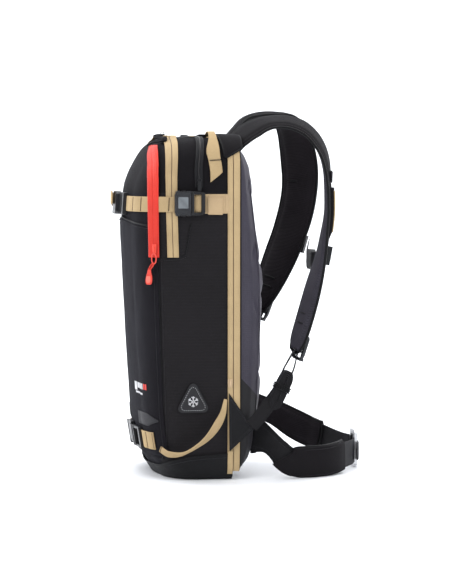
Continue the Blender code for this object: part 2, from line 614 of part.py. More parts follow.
def plug(name, M, mat, w=0.036, length=0.028, t=0.009, tail=0.018, **kw):
    """Matching plug: two prongs and a guide inside the socket, a ladder bar outside."""
    h = w / 2
    a, b = length + 0.0005, length + tail
    p0, p1 = h - 0.0036, h - 0.0078
    out = [(a, -h * 0.86), (b - 0.003, -h * 0.92), (b, -h * 0.74), (b, h * 0.74), (b - 0.003, h * 0.92), (a, h * 0.86),
           (a, p0), (0.0110, p0), (0.0085, p1 + 0.001), (0.0085, p1), (a, p1), (a, 0.0020), (0.0120, 0.0014),
           (0.0120, -0.0014), (a, -0.0020), (a, -p1), (0.0085, -p1), (0.0085, -p1 - 0.001), (0.0110, -p0), (a, -p0)]
    return plate(name, out, 0.0024, t - 0.0024, M, mat,
                 holes=((a + 0.0035, -h * 0.60, a + 0.0062, h * 0.60), (b - 0.0054, -h * 0.60, b - 0.0027, h * 0.60)), **kw)


socket("chest_buckle_socket", CB, PLASTIC, w=0.030, length=0.024, t=0.008, origin=chest_at, parent=harness)
plug("chest_buckle_plug", CB, PLASTIC, w=0.030, length=0.024, t=0.008, tail=0.0135, origin=chest_at, parent=harness)
swept("chest_webbing_left", [(0.1882, 0.0222, 0.3170), (0.1895, 0.036, 0.3190), (0.1930, 0.055, 0.3265), (0.1984, 0.0755, 0.3370)],
      [(0, 0, 1), (0.05, 0, 1), (0.12, 0, 1), (0.22, 0, 1)], [0.020] * 4, 0.0012, 8, DARKWEB, sect=4, origin=chest_at, parent=harness)

# ------------------------------------------------------------ hip belt
BELT_R = [(0.1010, -0.1080, 0.0600), (0.1180, -0.1200, 0.0440), (0.1430, -0.1240, 0.0285), (0.1720, -0.1170, 0.0252),
          (0.2000, -0.0980, 0.0245), (0.2170, -0.0780, 0.0245)]
BELT_L = [(0.1010, 0.1080, 0.0860), (0.1280, 0.1190, 0.0810), (0.1600, 0.1170, 0.0690), (0.1880, 0.1060, 0.0540),
          (0.2080, 0.0900, 0.0440), (0.2200, 0.0740, 0.0385)]
UPR = [(-0.10, -0.05, 1), (0.0, -0.12, 1), (0.0, -0.12, 1), (0, -0.10, 1), (0, -0.04, 1), (0, 0, 1)]
UPL = [(-0.10, 0.05, 1), (0.0, 0.1, 1), (0.0, 0.1, 1), (0, 0.1, 1), (0, 0.05, 1), (0, 0, 1)]
swept("hip_wing_right", BELT_R, UPR, [0.078, 0.062, 0.050, 0.047, 0.046, 0.046], 0.0075, 14, DARKWEB, parent=belt, origin=BELT_AXIS)
swept("hip_wing_left", BELT_L, UPL, [0.072, 0.056, 0.048, 0.046, 0.045, 0.044], 0.0075, 14, DARKWEB, parent=belt, origin=BELT_AXIS)
swept("hip_webbing_right", [(0.2195, -0.0745, 0.0240), (0.2330, -0.0540, 0.0245), (0.2460, -0.0330, 0.0250), (0.2510, -0.0210, 0.0255)],
      [(0, 0, 1)] * 4, [BELT_W] * 4, 0.0016, 8, DARKWEB, sect=4, parent=belt, origin=BELT_AXIS)
swept("hip_webbing_left", [(0.2225, 0.0705, 0.0380), (0.2330, 0.0500, 0.0330), (0.2440, 0.0280, 0.0290), (0.2500, 0.0130, 0.0275)],
      [(0, 0, 1)] * 4, [BELT_W] * 4, 0.0016, 8, DARKWEB, sect=4, parent=belt, origin=BELT_AXIS)
# belt buckle: an aluminium frame on the right webbing, a hooked plate on the left
HB = Matrix.Translation((0.2530, -0.004, 0.0290)) @ Matrix.Rotation(math.radians(90), 4, "Z") @ Matrix.Rotation(math.radians(90), 4, "X")
hb_at = HB.translation
plate("hip_buckle_frame", chamfered(0.034, 0.056, 0.004), 0.0, 0.0040, HB, ALU,
      holes=((-0.0130, -0.0205, -0.0080, 0.0205), (-0.0030, -0.0205, 0.0120, 0.0205)), parent=belt, origin=hb_at)
hook = plate("hip_buckle_hook", chamfered(0.030, 0.046, 0.004), 0.0046, 0.0080, HB @ Matrix.Translation((0.013, 0, 0)), PLASTIC,
             holes=((0.0050, -0.0195, 0.0095, 0.0195),), parent=belt, origin=hb_at)
join(hook, "hook_lip", *box_mesh((0.0000, -0.0180, -0.0030), (0.0045, 0.0180, 0.0060), HB))

# ------------------------------------------------------------ webbing on the bag
def round_strap(name, marks, z0, z1, o0, o1, mat, **kw):
    """Strap at constant height round the bag; marks are ('s', side, x) or ('q', q)."""
    stations = []
    for m in marks:
        pts = []
        for z, o in ((z0, o0), (z1, o0), (z1, o1), (z0, o1)):
            pts.append(side_point(m[1], m[2], z, o) if m[0] == "s" else round_point(m[1], z, o))
        stations.append(pts)
    return band(name, stations, mat, **kw)


UZ0, UZ1 = 0.3910, 0.4155
near = [("q", 0.03)] + [("q", q / 8) for q in range(1, 9)] + [("q", 1.15)]
round_strap("upper_strap_right", near, UZ0, UZ1, 0.0030, 0.0042, TAN)
far = [("q", 2.97)] + [("q", 3 - q / 8) for q in range(1, 9)]
round_strap("upper_strap_left", far + [("q", 1.90)], UZ0, UZ1, 0.0030, 0.0042, TAN)
DZ0, DZ1 = 0.0500, 0.0720
round_strap("lower_strap_right", [("q", q / 8) for q in range(5, 9)] + [("q", 1.15)], DZ0, DZ1, 0.0036, 0.0048, TAN)
round_strap("lower_strap_left", [("q", 3 - q / 8) for q in range(5, 9)] + [("q", 1.90)], DZ0, DZ1, 0.0036, 0.0048, TAN)
for side, tag in ((-1, "right"), (1, "left")):
    round_strap(f"rear_strap_{tag}", [("s", side, -0.0060), ("s", side, 0.015), ("s", side, 0.0352)], UZ0 - 0.0015, UZ1 + 0.0015,
                0.0007, 0.0018, TAN)
    # side-release buckle across the bag's side
    rot = Matrix.Rotation(math.radians(90), 4, "X") if side < 0 else Matrix.Rotation(math.radians(-90), 4, "X")
    B = Matrix.Translation((-0.0375, side * (HALF_W + 0.0031), (UZ0 + UZ1) / 2)) @ rot
    socket(f"side_buckle_socket_{tag}", B, PLASTIC)
    plug(f"side_buckle_plug_{tag}", B, PLASTIC, tail=0.0140, origin=B.translation)
    # loop that keeps a ski tail
    pts = [(-0.0590, 0.0, 0.0450), (-0.0495, 0.010, 0.0405), (-0.0312, 0.016, 0.0430), (-0.0115, 0.018, 0.0535),
           (0.0056, 0.015, 0.0665), (0.0186, 0.011, 0.0820), (0.0275, 0.005, 0.0990), (0.0300, 0.0, 0.1190)]
    path, wd = [], []
    for x, stand, z in pts:
        b = side_point(side, x, z, 0.0062 + stand)
        path.append(tuple(b))
    wd = [(0.25, 0.0, 1), (0.2, 0.55 * side, 1), (0.1, 0.9 * side, 0.8), (-0.15, 0.9 * side, 0.8), (-0.45, 0.8 * side, 0.75),
          (-0.6, 0.6 * side, 0.55), (-0.75, 0.4 * side, 0.3), (-0.9, 0.2 * side, 0.15)]
    swept(f"ski_loop_{tag}", path, wd, [0.018, 0.016, 0.015, 0.015, 0.016, 0.017, 0.014, 0.010], 0.0016, 18, TAN, sect=4)

# buckles on the centre of the front, one above the other, for carrying a board
for tag, z in (("upper", (UZ0 + UZ1) / 2), ("lower", (DZ0 + DZ1) / 2)):
    off = 0.0030 if tag == "upper" else 0.0036
    face = curve_at(FRONT, z) - off - 0.0022
    lean = math.atan2(curve_at(FRONT, z + 0.01) - curve_at(FRONT, z - 0.01), 0.02)
    F = (Matrix.Translation((face, -0.0085, z)) @ Matrix.Rotation(lean, 4, "Y")
         @ Matrix(((0, 0, -1, 0), (1, 0, 0, 0), (0, -1, 0, 0), (0, 0, 0, 1))))
    socket(f"front_buckle_socket_{tag}", F, PLASTIC, w=0.034, length=0.024)
    plug(f"front_buckle_plug_{tag}", F, PLASTIC, w=0.034, length=0.024, tail=0.013, origin=F.translation)

# ------------------------------------------------------------ haul handle
HX = 0.0160
hs = []
for side in (-1, 1):
    leg = []
    for z, w in ((0.4360, 0.0165), (0.4575, 0.0185)):
        leg.append((side, z, None, w, HX + 0.001))
    for p, w in ((25, 0.0160), (45, 0.0125), (60, 0.0110)):
        leg.append((side, None, p, w, HX - 0.002))
    hs.append(leg)
stations = []
for leg in (hs[0], list(reversed(hs[1]))):
    part = []
    for side, z, p, w, x in leg:
        pts = []
        for o, sx in ((0.0010, -1), (0.0010, 1), (0.0034, 1), (0.0034, -1)):
            if p is None:
                zz, ins = z, inset_at(z) - o
            else:
                lift = o + (0.0 if p < 30 else (0.005 if p < 50 else 0.0085))
                zz, ins = edge_level(p, lift)
            pts.append(side_point(side, x + sx * w / 2, zz, o, ins))
        part.append(pts)
    stations.append(part)
a, b = stations[0][-1], stations[1][0]
mid = []
for k in (0.2, 0.5, 0.8):
    mid.append([p.lerp(q, k) + Vector((0, 0, 0.0046)) for p, q in zip(a, b)])
band("haul_handle", stations[0] + mid + stations[1], TAN)

# badge moulded on the right side: a rounded triangle
tri = []
for cx, cz, a0 in ((-0.0300, 0.1030, 210), (0.0040, 0.1030, 330), (-0.0130, 0.1330, 90)):
    for k in range(-2, 3):
        ang = math.radians(a0 + k * 28)
        tri.append((cx + 0.0065 * math.cos(ang), cz + 0.0065 * math.sin(ang)))
loft("side_badge", [[Vector((x, -(HALF_W + o), z)) for x, z in tri] for o in (0.0006, 0.0022)], RUBBER, smooth=False)

# ------------------------------------------------------------ zip sliders
def slider(name, at, axis, out, mat, size=(0.0065, 0.0130, 0.0040), **kw):
    """Small body on a tape: width across, length along the axis, height outwards."""
    axis, out = axis.normalized(), out.normalized()
    across = axis.cross(out).normalized()
    out = across.cross(axis).normalized()
    M = Matrix((across, axis, out)).transposed().to_4x4()
    M.translation = at
    w, l, h = size
    outline = [(-w * 0.35, -l / 2), (w * 0.35, -l / 2), (w / 2, l * 0.1), (w / 2, l / 2), (-w / 2, l / 2), (-w / 2, l * 0.1)]
    ob = plate(name, outline, 0.0, h * 0.45, M, mat, origin=at, **kw)
    join(ob, name + "_bail", *box_mesh((-w * 0.16, -l * 0.30, h * 0.3), (w * 0.16, l * 0.34, h), M))
    return ob, M


tz0, tz1 = side_point(-1, -0.0693, 0.339, 0.0080), side_point(-1, -0.0705, 0.415, 0.0080)
TOOL_DIR = (tz1 - tz0).normalized()
TOOL_OUT = (side_point(-1, -0.0693, 0.339, 0.02) - side_point(-1, -0.0693, 0.339, 0.0))
corner_n = Vector((-0.74, -0.67, 0.0))
_, MT = slider("tool_slider", tz0, TOOL_DIR, corner_n, RED)
pull_top = MT @ Vector((0, -0.0085, 0.0022))
PT = MT.copy()
PT.translation = pull_top
toolpull = plate("tool_pull", [(-0.0030, 0.0), (0.0030, 0.0), (0.0030, -0.010), (0.0016, -0.014), (0.0040, -0.022), (0.0048, -0.030), (0.0032, -0.038),
                               (-0.0032, -0.038), (-0.0048, -0.030), (-0.0040, -0.022), (-0.0016, -0.014), (-0.0030, -0.010)],
                 -0.0011, 0.0011, PT, RED, holes=((-0.0014, -0.0085, 0.0014, -0.0025),), origin=pull_top)

kz0, kz1 = side_point(-1, -0.0047, 0.4335, 0.0030), side_point(-1, -0.0050, 0.4545, 0.0030)
TOPZ_DIR = (kz1 - kz0).normalized()
_, MK = slider("top_slider", kz0, TOPZ_DIR, Vector((0, -1, 0)), PLASTIC, size=(0.0060, 0.0110, 0.0036))
PK = MK.copy()
PK.translation = MK @ Vector((0, 0.0065, 0.0050))
plate("top_pull", [(-0.0024, 0.0), (0.0024, 0.0), (0.0028, -0.012), (-0.0028, -0.012)], -0.0009, 0.0009, PK, PLASTIC,
      origin=PK.translation)

bz0 = Vector((0.0408, -(HALF_W + 0.0027), 0.142))
slider("back_slider", bz0, Vector((0, 0, 1)), Vector((0, -1, 0)), TAN, size=(0.0070, 0.0120, 0.0038))

# ------------------------------------------------------------ inside the bag
def turned(name, profile, at, mat, n=16, **kw):
    """Upright turned solid: profile lists (height, radius)."""
    rings = [[Vector((at[0] + r * math.cos(2 * math.pi * k / n), at[1] + r * math.sin(2 * math.pi * k / n), at[2] + h))
              for k in range(n)] for h, r in profile]
    return loft(name, rings, mat, **kw)


CYL = (-0.042, -0.078, 0.050)
turned("gas_cylinder", [(0.0, 0.014), (0.006, 0.021), (0.016, 0.025), (0.150, 0.025), (0.164, 0.021), (0.174, 0.012), (0.178, 0.009), (0.192, 0.009)],
       CYL, STEEL)
VZ = CYL[2] + 0.1925
valve = box("inflator_valve", (-0.017, -0.014, 0.0), (0.017, 0.014, 0.042), Matrix.Translation((CYL[0], CYL[1], VZ)), ALU)
cut(valve, "pin_bore", *box_mesh((-0.0042, -0.0042, 0.016), (0.0042, 0.0042, 0.05), Matrix.Translation((CYL[0], CYL[1], VZ))))
cut(valve, "valve_port", *box_mesh((0.008, -0.006, 0.020), (0.02, 0.006, 0.032), Matrix.Translation((CYL[0], CYL[1], VZ))))
PIN_AT = Vector((CYL[0], CYL[1], VZ + 0.030))
turned("valve_pin", [(-0.008, 0.0030), (0.014, 0.0030), (0.0141, 0.0055), (0.018, 0.0055)], PIN_AT, STEEL, n=10, origin=PIN_AT)
bl = []
for x, s in ((-0.062, 0.82), (-0.056, 0.95), (-0.030, 1.0), (-0.021, 0.95), (-0.016, 0.82)):
    bl.append([Vector((x, 0.102 * s * y, 0.379 + 0.057 * s * z)) for y, z in
               ((-0.85, -1), (0.85, -1), (1, -0.8), (1, 0.8), (0.85, 1), (-0.85, 1), (-1, 0.8), (-1, -0.8))])
loft("airbag_bladder", bl, BLADDER)
swept("trigger_cable", [(-0.042, -0.078, 0.3025), (-0.025, -0.085, 0.3035), (-0.006, -0.096, 0.3060), (0.004, -0.108, 0.345), (0.012, -0.108, 0.410), (0.030, -0.092, 0.4620)],
      [(0, 1, 0.2)] * 6, [0.005] * 6, 0.005, 14, PLASTIC, sect=8)
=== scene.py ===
import math
import bpy
import bmesh
from mathutils import Matrix, Vector, noise


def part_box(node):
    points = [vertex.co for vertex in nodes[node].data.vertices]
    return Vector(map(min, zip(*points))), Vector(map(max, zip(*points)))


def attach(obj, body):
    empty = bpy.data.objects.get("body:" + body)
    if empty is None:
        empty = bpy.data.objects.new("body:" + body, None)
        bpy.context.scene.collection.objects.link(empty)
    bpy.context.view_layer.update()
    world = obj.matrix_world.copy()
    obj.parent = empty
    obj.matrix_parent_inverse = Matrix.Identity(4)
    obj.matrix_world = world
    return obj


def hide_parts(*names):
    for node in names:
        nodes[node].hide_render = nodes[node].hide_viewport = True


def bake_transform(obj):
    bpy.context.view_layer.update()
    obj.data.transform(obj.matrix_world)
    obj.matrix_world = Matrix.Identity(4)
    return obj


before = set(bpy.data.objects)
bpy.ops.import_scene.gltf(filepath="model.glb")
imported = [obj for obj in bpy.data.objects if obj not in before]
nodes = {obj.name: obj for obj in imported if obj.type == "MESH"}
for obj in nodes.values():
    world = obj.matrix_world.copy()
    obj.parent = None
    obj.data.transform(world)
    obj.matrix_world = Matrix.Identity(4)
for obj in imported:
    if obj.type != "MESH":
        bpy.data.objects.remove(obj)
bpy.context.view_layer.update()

scene = bpy.context.scene
pi = math.pi

# ------------------------------------------------------------------ camera
cam_data = bpy.data.cameras.new("camera")
camera = bpy.data.objects.new("camera", cam_data)
scene.collection.objects.link(camera)
PITCH = 3.276
camera.location = (-0.5898, -3.6753, 0.4814)
camera.rotation_euler = (math.radians(90 - PITCH), 0.0, math.radians(-10))
cam_data.sensor_fit = "VERTICAL"
cam_data.sensor_height = 36.0
cam_data.lens = 152.7
cam_data.clip_end = 60.0
cam_data.dof.use_dof = False
scene.camera = camera
scene.view_settings.view_transform = "Standard"


# ------------------------------------------------------------------ materials
class Graph:
    """A node material under construction."""

    def __init__(self, name):
        self.mat = bpy.data.materials.new(name)
        self.mat.use_nodes = True
        self.nt = self.mat.node_tree
        self.bsdf = self.nt.nodes["Principled BSDF"]

    def put(self, socket, value):
        if isinstance(value, bpy.types.NodeSocket):
            self.nt.links.new(value, socket)
        elif isinstance(value, (tuple, list)) and len(value) == 3 and socket.type == "RGBA":
            socket.default_value = (*value, 1.0)
        else:
            socket.default_value = value

    def add(self, kind, props=None, **inputs):
        node = self.nt.nodes.new(kind)
        for k, v in (props or {}).items():
            setattr(node, k, v)
        for k, v in inputs.items():
            self.put(node.inputs[k.replace("_", " ")], v)
        return node

    def math(self, op, a, b=0.0, clamp=False):
        node = self.nt.nodes.new("ShaderNodeMath")
        node.operation = op
        node.use_clamp = clamp
        self.put(node.inputs[0], a)
        self.put(node.inputs[1], b)
        return node.outputs[0]

    def coords(self, kind="Object"):
        return self.nt.nodes.new("ShaderNodeTexCoord").outputs[kind]

    def split(self, vec):
        s = self.add("ShaderNodeSeparateXYZ", Vector=vec)
        return s.outputs[0], s.outputs[1], s.outputs[2]

    def wave(self, x, pitch, phase=0.0):
        """0..1 wave of a coordinate in metres."""
        a = self.math("MULTIPLY_ADD", x, 2 * pi / pitch)
        a.node.inputs[2].default_value = phase
        return self.math("MULTIPLY_ADD", self.math("SINE", a), 0.5) if False else self.half(self.math("SINE", a))

    def half(self, s):
        n = self.nt.nodes.new("ShaderNodeMath")
        n.operation = "MULTIPLY_ADD"
        self.put(n.inputs[0], s)
        n.inputs[1].default_value = 0.5
        n.inputs[2].default_value = 0.5
        return n.outputs[0]

    def noise(self, vec, scale, detail=4.0, rough=0.55):
        return self.add("ShaderNodeTexNoise", Vector=vec, Scale=scale, Detail=detail, Roughness=rough).outputs[0]

    def ramp(self, fac, lo, hi, c0=(0, 0, 0), c1=(1, 1, 1)):
        r = self.add("ShaderNodeValToRGB", Fac=fac)
        r.color_ramp.elements[0].position = lo
        r.color_ramp.elements[1].position = hi
        r.color_ramp.elements[0].color = (*c0, 1)
        r.color_ramp.elements[1].color = (*c1, 1)
        return r.outputs[0]

    def mix(self, fac, a, b, blend="MIX"):
        m = self.nt.nodes.new("ShaderNodeMix")
        m.data_type = "RGBA"
        m.blend_type = blend
        self.put(m.inputs[0], fac)
        self.put(m.inputs[6], a)
        self.put(m.inputs[7], b)
        return m.outputs[2]

    def bump(self, height, dist, strength=1.0, after=None):
        b = self.add("ShaderNodeBump", Height=height, Distance=dist, Strength=strength)
        if after is not None:
            self.put(b.inputs["Normal"], after)
        return b.outputs[0]

    def edge_wear(self, lo=0.53, hi=0.62):
        g = self.nt.nodes.new("ShaderNodeNewGeometry")
        return self.ramp(g.outputs["Pointiness"], lo, hi)

    def finish(self, colour, rough, normal=None, **more):
        self.put(self.bsdf.inputs["Base Color"], colour)
        self.put(self.bsdf.inputs["Roughness"], rough)
        if normal is not None:
            self.put(self.bsdf.inputs["Normal"], normal)
        for k, v in more.items():
            self.put(self.bsdf.inputs[k.replace("_", " ")], v)
        return self.mat


def tint(c, k):
    return tuple(min(x * k, 1.0) for x in c)


def cloth(name, colour, pitch=0.0011, ribs=None, rough=0.72, sheen=0.25, sheen_tint=(0.6, 0.6, 0.68), depth=0.00022,
          coat=0.0, patch=0.18, crease=0.0006, spread=1.0, dark=0.42, spec=0.14):
    """Woven packcloth: threads, optional raised ripstop lines, dust and slow colour change."""
    colour = tint(colour, dark)
    sheen *= 0.12
    g = Graph(name)
    o = g.coords("Object")
    x, y, z = g.split(o)
    s = g.math("ADD", x, y)
    t = g.math("ADD", z, g.math("MULTIPLY", g.math("SUBTRACT", x, y), 0.45))
    w = g.math("MULTIPLY", g.wave(s, pitch), g.wave(t, pitch, 1.2))
    slow = g.noise(o, 9.0, 3.0)
    fine = g.noise(o, 620.0, 2.0)
    base = g.mix(g.ramp(slow, 0.35, 0.68), tint(colour, 1 - patch), tint(colour, 1 + patch * spread))
    base = g.mix(g.math("MULTIPLY", g.ramp(fine, 0.42, 0.72), 0.35), base, tint(colour, 1.9))
    base = g.mix(g.math("MULTIPLY", w, 0.30), base, tint(colour, 0.45))
    h = w
    if ribs:
        line = g.math("POWER", g.wave(z, ribs), 6.0)
        h = g.math("ADD", g.math("MULTIPLY", w, 0.6), g.math("MULTIPLY", line, 0.7))
        base = g.mix(g.math("MULTIPLY", line, 0.22), base, tint(colour, 2.1))
    wear = g.edge_wear(0.54, 0.66)
    base = g.mix(g.math("MULTIPLY", wear, 0.35), base, tint(colour, 2.6))
    n1 = g.bump(g.noise(o, 34.0, 4.0), crease, 0.55)
    n2 = g.bump(h, depth, 0.6, n1)
    r = g.math("MULTIPLY_ADD", slow, 0.16)
    r.node.inputs[2].default_value = rough - 0.08
    return g.finish(base, r, n2, Sheen_Weight=sheen, Sheen_Roughness=0.45, Sheen_Tint=sheen_tint, Coat_Weight=coat, Coat_Roughness=0.45,
                    Specular_IOR_Level=spec)


def webbing(name, colour, rib=0.0022, rough=0.8, sheen=0.35, contrast=0.30, spec=0.16, sheen_tint=None):
    """Woven tape. The UV map runs across (u) and along (v) the tape in metres."""
    g = Graph(name)
    uv = g.coords("UV")
    o = g.coords("Object")
    u, v, _ = g.split(uv)
    across = g.wave(v, rib)
    chev = g.wave(g.math("ADD", v, g.math("MULTIPLY", g.math("ABSOLUTE", g.math("SINE", g.math("MULTIPLY", u, 2 * pi / 0.0052))), 0.0011)), rib)
    warp = g.wave(u, 0.00125)
    h = g.math("ADD", g.math("MULTIPLY", chev, 0.6), g.math("MULTIPLY", warp, 0.4))
    slow = g.noise(o, 26.0, 3.0)
    fibre = g.noise(o, 900.0, 2.0)
    base = g.mix(g.ramp(slow, 0.3, 0.7), tint(colour, 0.88), tint(colour, 1.10))
    base = g.mix(g.math("MULTIPLY", g.math("SUBTRACT", 1.0, h), contrast), base, tint(colour, 0.55))
    base = g.mix(g.math("MULTIPLY", g.ramp(fibre, 0.45, 0.75), 0.25), base, tint(colour, 1.35))
    n = g.bump(h, 0.00035, 0.8, g.bump(slow, 0.0006, 0.4))
    r = g.math("MULTIPLY_ADD", across, 0.10)
    r.node.inputs[2].default_value = rough - 0.05
    return g.finish(base, r, n, Sheen_Weight=sheen, Sheen_Roughness=0.5, Sheen_Tint=sheen_tint or tint(colour, 1.6), Specular_IOR_Level=spec)


def moulded(name, colour, rough=0.42, grain=0.00006, wear=0.35, scale=900.0, coat=0.0, metallic=0.0, spec=0.3):
    """Moulded plastic or rubber: spark-eroded grain, scuffs and paler worn edges."""
    g = Graph(name)
    o = g.coords("Object")
    grain_n = g.noise(o, scale, 2.0)
    scuff = g.noise(o, 60.0, 5.0, 0.7)
    base = g.mix(g.ramp(scuff, 0.35, 0.75), tint(colour, 0.85), tint(colour, 1.25))
    base = g.mix(g.math("MULTIPLY", g.edge_wear(), wear), base, tint(colour, 2.4))
    r = g.math("MULTIPLY_ADD", g.ramp(scuff, 0.3, 0.8), 0.16)
    r.node.inputs[2].default_value = rough - 0.06
    n = g.bump(grain_n, grain, 0.6, g.bump(scuff, 0.00008, 0.5))
    return g.finish(base, r, n, Coat_Weight=coat, Coat_Roughness=0.25, Metallic=metallic, Specular_IOR_Level=spec)


def brushed(name, colour, rough=0.28):
    g = Graph(name)
    o = g.coords("Object")
    mp = g.add("ShaderNodeMapping", Vector=o)
    mp.inputs["Scale"].default_value = (30.0, 30.0, 900.0)
    streak = g.noise(mp.outputs[0], 3.0, 3.0)
    base = g.mix(streak, tint(colour, 0.8), tint(colour, 1.12))
    base = g.mix(g.math("MULTIPLY", g.edge_wear(0.53, 0.6), 0.5), base, (0.95, 0.95, 0.96))
    r = g.math("MULTIPLY_ADD", streak, 0.2)
    r.node.inputs[2].default_value = rough
    return g.finish(base, r, g.bump(streak, 0.00006, 0.5), Metallic=1.0)


def spacer_mesh(name, colour, cell=0.0034, rough=0.8):
    """Air mesh: rows of small dark holes between paler yarns."""
    g = Graph(name)
    o = g.coords("Object")
    x, y, z = g.split(o)
    s = g.math("ADD", x, y)
    row = g.math("MULTIPLY", g.wave(s, cell), g.wave(z, cell))
    row2 = g.math("MULTIPLY", g.wave(s, cell, pi), g.wave(z, cell, pi))
    hole = g.ramp(g.math("MAXIMUM", row, row2), 0.42, 0.72)
    slow = g.noise(o, 18.0, 3.0)
    base = g.mix(g.ramp(slow, 0.3, 0.7), tint(colour, 0.8), tint(colour, 1.2))
    base = g.mix(g.math("MULTIPLY", hole, 0.55), base, tint(colour, 0.45))
    n = g.bump(g.math("SUBTRACT", 1.0, hole), 0.0003, 0.5)
    return g.finish(base, rough, n, Sheen_Weight=0.04, Sheen_Tint=(0.6, 0.58, 0.66), Specular_IOR_Level=0.12)


def foam_face(name, colour):
    """Brushed face of the moulded back foam, with a fine dimple pattern; below the belt line it is black cloth."""
    g = Graph(name)
    o = g.coords("Object")
    x, y, z = g.split(o)
    s = g.math("ADD", g.math("MULTIPLY", x, 0.7), y)
    d = g.math("MULTIPLY", g.wave(s, 0.0030), g.wave(z, 0.0030, 0.8))
    slow = g.noise(o, 12.0, 4.0)
    fine = g.noise(o, 500.0, 2.0)
    base = g.mix(g.ramp(slow, 0.3, 0.7), tint(colour, 0.85), tint(colour, 1.15))
    base = g.mix(g.math("MULTIPLY", d, 0.35), base, tint(colour, 0.5))
    base = g.mix(g.math("MULTIPLY", g.ramp(fine, 0.4, 0.7), 0.3), base, tint(colour, 1.5))
    side_ = g.math("GREATER_THAN", g.math("ABSOLUTE", y), 0.070)
    low = g.math("LESS_THAN", g.math("ADD", z, x), 0.2068)
    base = g.mix(g.math("MULTIPLY", side_, low), base, (0.0075, 0.0070, 0.0082))
    n = g.bump(d, 0.0003, 0.5, g.bump(slow, 0.0012, 0.4))
    return g.finish(base, 0.68, n, Sheen_Weight=0.08, Sheen_Roughness=0.5, Sheen_Tint=(0.62, 0.60, 0.72), Specular_IOR_Level=0.3)


BLACK_C = (0.0185, 0.0180, 0.0215)
TAN_C = (0.420, 0.305, 0.165)
M_RIP = cloth("ripstop_side", (0.0195, 0.0172, 0.0200), ribs=0.0046, depth=0.0003, sheen=0.18)
M_FRONT = cloth("front_cloth", (0.0230, 0.0215, 0.0265), pitch=0.0009, rough=0.86, sheen=0.30, sheen_tint=(0.62, 0.64, 0.78), spec=0.05)
M_TOP = cloth("top_cloth", (0.0190, 0.0172, 0.0200), pitch=0.0009, rough=0.84, sheen=0.25, crease=0.0016, spec=0.06)
M_BOOT = cloth("boot_cloth", (0.0165, 0.0165, 0.0190), pitch=0.0020, rough=0.62, sheen=0.20, depth=0.0004)
M_LINING = cloth("lining", (0.16, 0.165, 0.18), pitch=0.0012, rough=0.7, sheen=0.1, dark=1.0)
M_ANCHOR = cloth("anchor_cloth", (0.0150, 0.0148, 0.0175), pitch=0.0016, rough=0.6, sheen=0.2, depth=0.00035)
M_STRAP = cloth("strap_cloth", (0.0190, 0.0170, 0.0195), pitch=0.0010, rough=0.78, sheen=0.22, crease=0.0008, spec=0.07)
M_BELT = cloth("belt_cloth", (0.0160, 0.0155, 0.0180), pitch=0.0012, rough=0.66, sheen=0.28, crease=0.0010)
M_BINDING = cloth("binding", (0.0105, 0.0105, 0.0120), pitch=0.0008, rough=0.6, sheen=0.25)
M_MESH = spacer_mesh("air_mesh", (0.0125, 0.0100, 0.0125))
# painted light: a paler copy of the same air mesh for the near strap's inner face, standing in for the light on that
# face; the far strap's identical mesh keeps the dark colour
M_MESH_LIT = spacer_mesh("air_mesh_lit", (0.042, 0.039, 0.050), cell=0.0030)
M_FOAM = foam_face("back_foam_face", (0.036, 0.032, 0.046))
M_TAN = webbing("tan_webbing_weave", TAN_C)
M_TAN_PALE = webbing("tan_webbing_flat", (0.450, 0.325, 0.190), rib=0.0016, contrast=0.22)
M_ZIP_TAN = webbing("tan_zip_knit", (0.430, 0.315, 0.172), rib=0.0014, contrast=0.16, rough=0.62)
M_ZIP_RED = webbing("red_zip_coated", (0.640, 0.040, 0.026), rib=0.0013, contrast=0.14, rough=0.5, sheen=0.2, sheen_tint=(0.9, 0.3, 0.25))
M_ZIP_BLACK = webbing("black_zip_knit", (0.0085, 0.0085, 0.0100), rib=0.0014, contrast=0.3, rough=0.55, sheen=0.03)
M_WEB = webbing("black_webbing_weave", (0.0075, 0.0070, 0.0082), contrast=0.45, rough=0.62, sheen=0.05, sheen_tint=(0.5, 0.5, 0.58), spec=0.14)
M_THREAD_DARK = moulded("thread_dark", (0.010, 0.010, 0.012), rough=0.6)
M_THREAD_BROWN = moulded("thread_brown", (0.035, 0.022, 0.013), rough=0.7)
M_THREAD_TAN = moulded("thread_tan", (0.30, 0.22, 0.12), rough=0.7)
M_THREAD_GREY = moulded("thread_grey", (0.020, 0.020, 0.023), rough=0.7)
M_THREAD_RED = moulded("thread_red", (0.42, 0.020, 0.014), rough=0.6)
M_COIL = moulded("zip_coil", (0.012, 0.011, 0.012), rough=0.36, wear=0.5)
M_COIL_BROWN = moulded("zip_coil_brown", (0.085, 0.055, 0.032), rough=0.5)
M_COIL_TAN = moulded("zip_coil_tan", (0.34, 0.245, 0.150), rough=0.5)
M_PLASTIC = moulded("buckle_plastic", (0.020, 0.021, 0.024), rough=0.40, wear=0.30)
M_PLASTIC_BLACK = moulded("buckle_plastic_black", (0.0080, 0.0080, 0.0092), rough=0.34, wear=0.35, coat=0.06)
M_INSET = moulded("buckle_inset", (0.120, 0.132, 0.142), rough=0.5, wear=0.2)
M_RUBBER = moulded("badge_rubber", (0.0090, 0.0090, 0.0105), rough=0.55, scale=400.0)
M_WHITE = moulded("print_white", (0.52, 0.52, 0.54), rough=0.55, wear=0.1)
M_PRINT_RED = moulded("print_red", (0.60, 0.040, 0.030), rough=0.55, wear=0.1)
M_RED_CORD = webbing("red_cord_weave", (0.66, 0.050, 0.032), rib=0.0016, contrast=0.35, rough=0.6)
M_RED_PULL = moulded("red_pull", (0.66, 0.060, 0.040), rough=0.45, wear=0.25)
M_RED_PALE = moulded("red_pull_tip", (0.74, 0.16, 0.115), rough=0.5, wear=0.2)
M_TAB = cloth("grey_tab_cloth", (0.050, 0.049, 0.055), pitch=0.0013, rough=0.6, sheen=0.3)
M_METAL = brushed("belt_buckle_metal", (0.40, 0.40, 0.42))
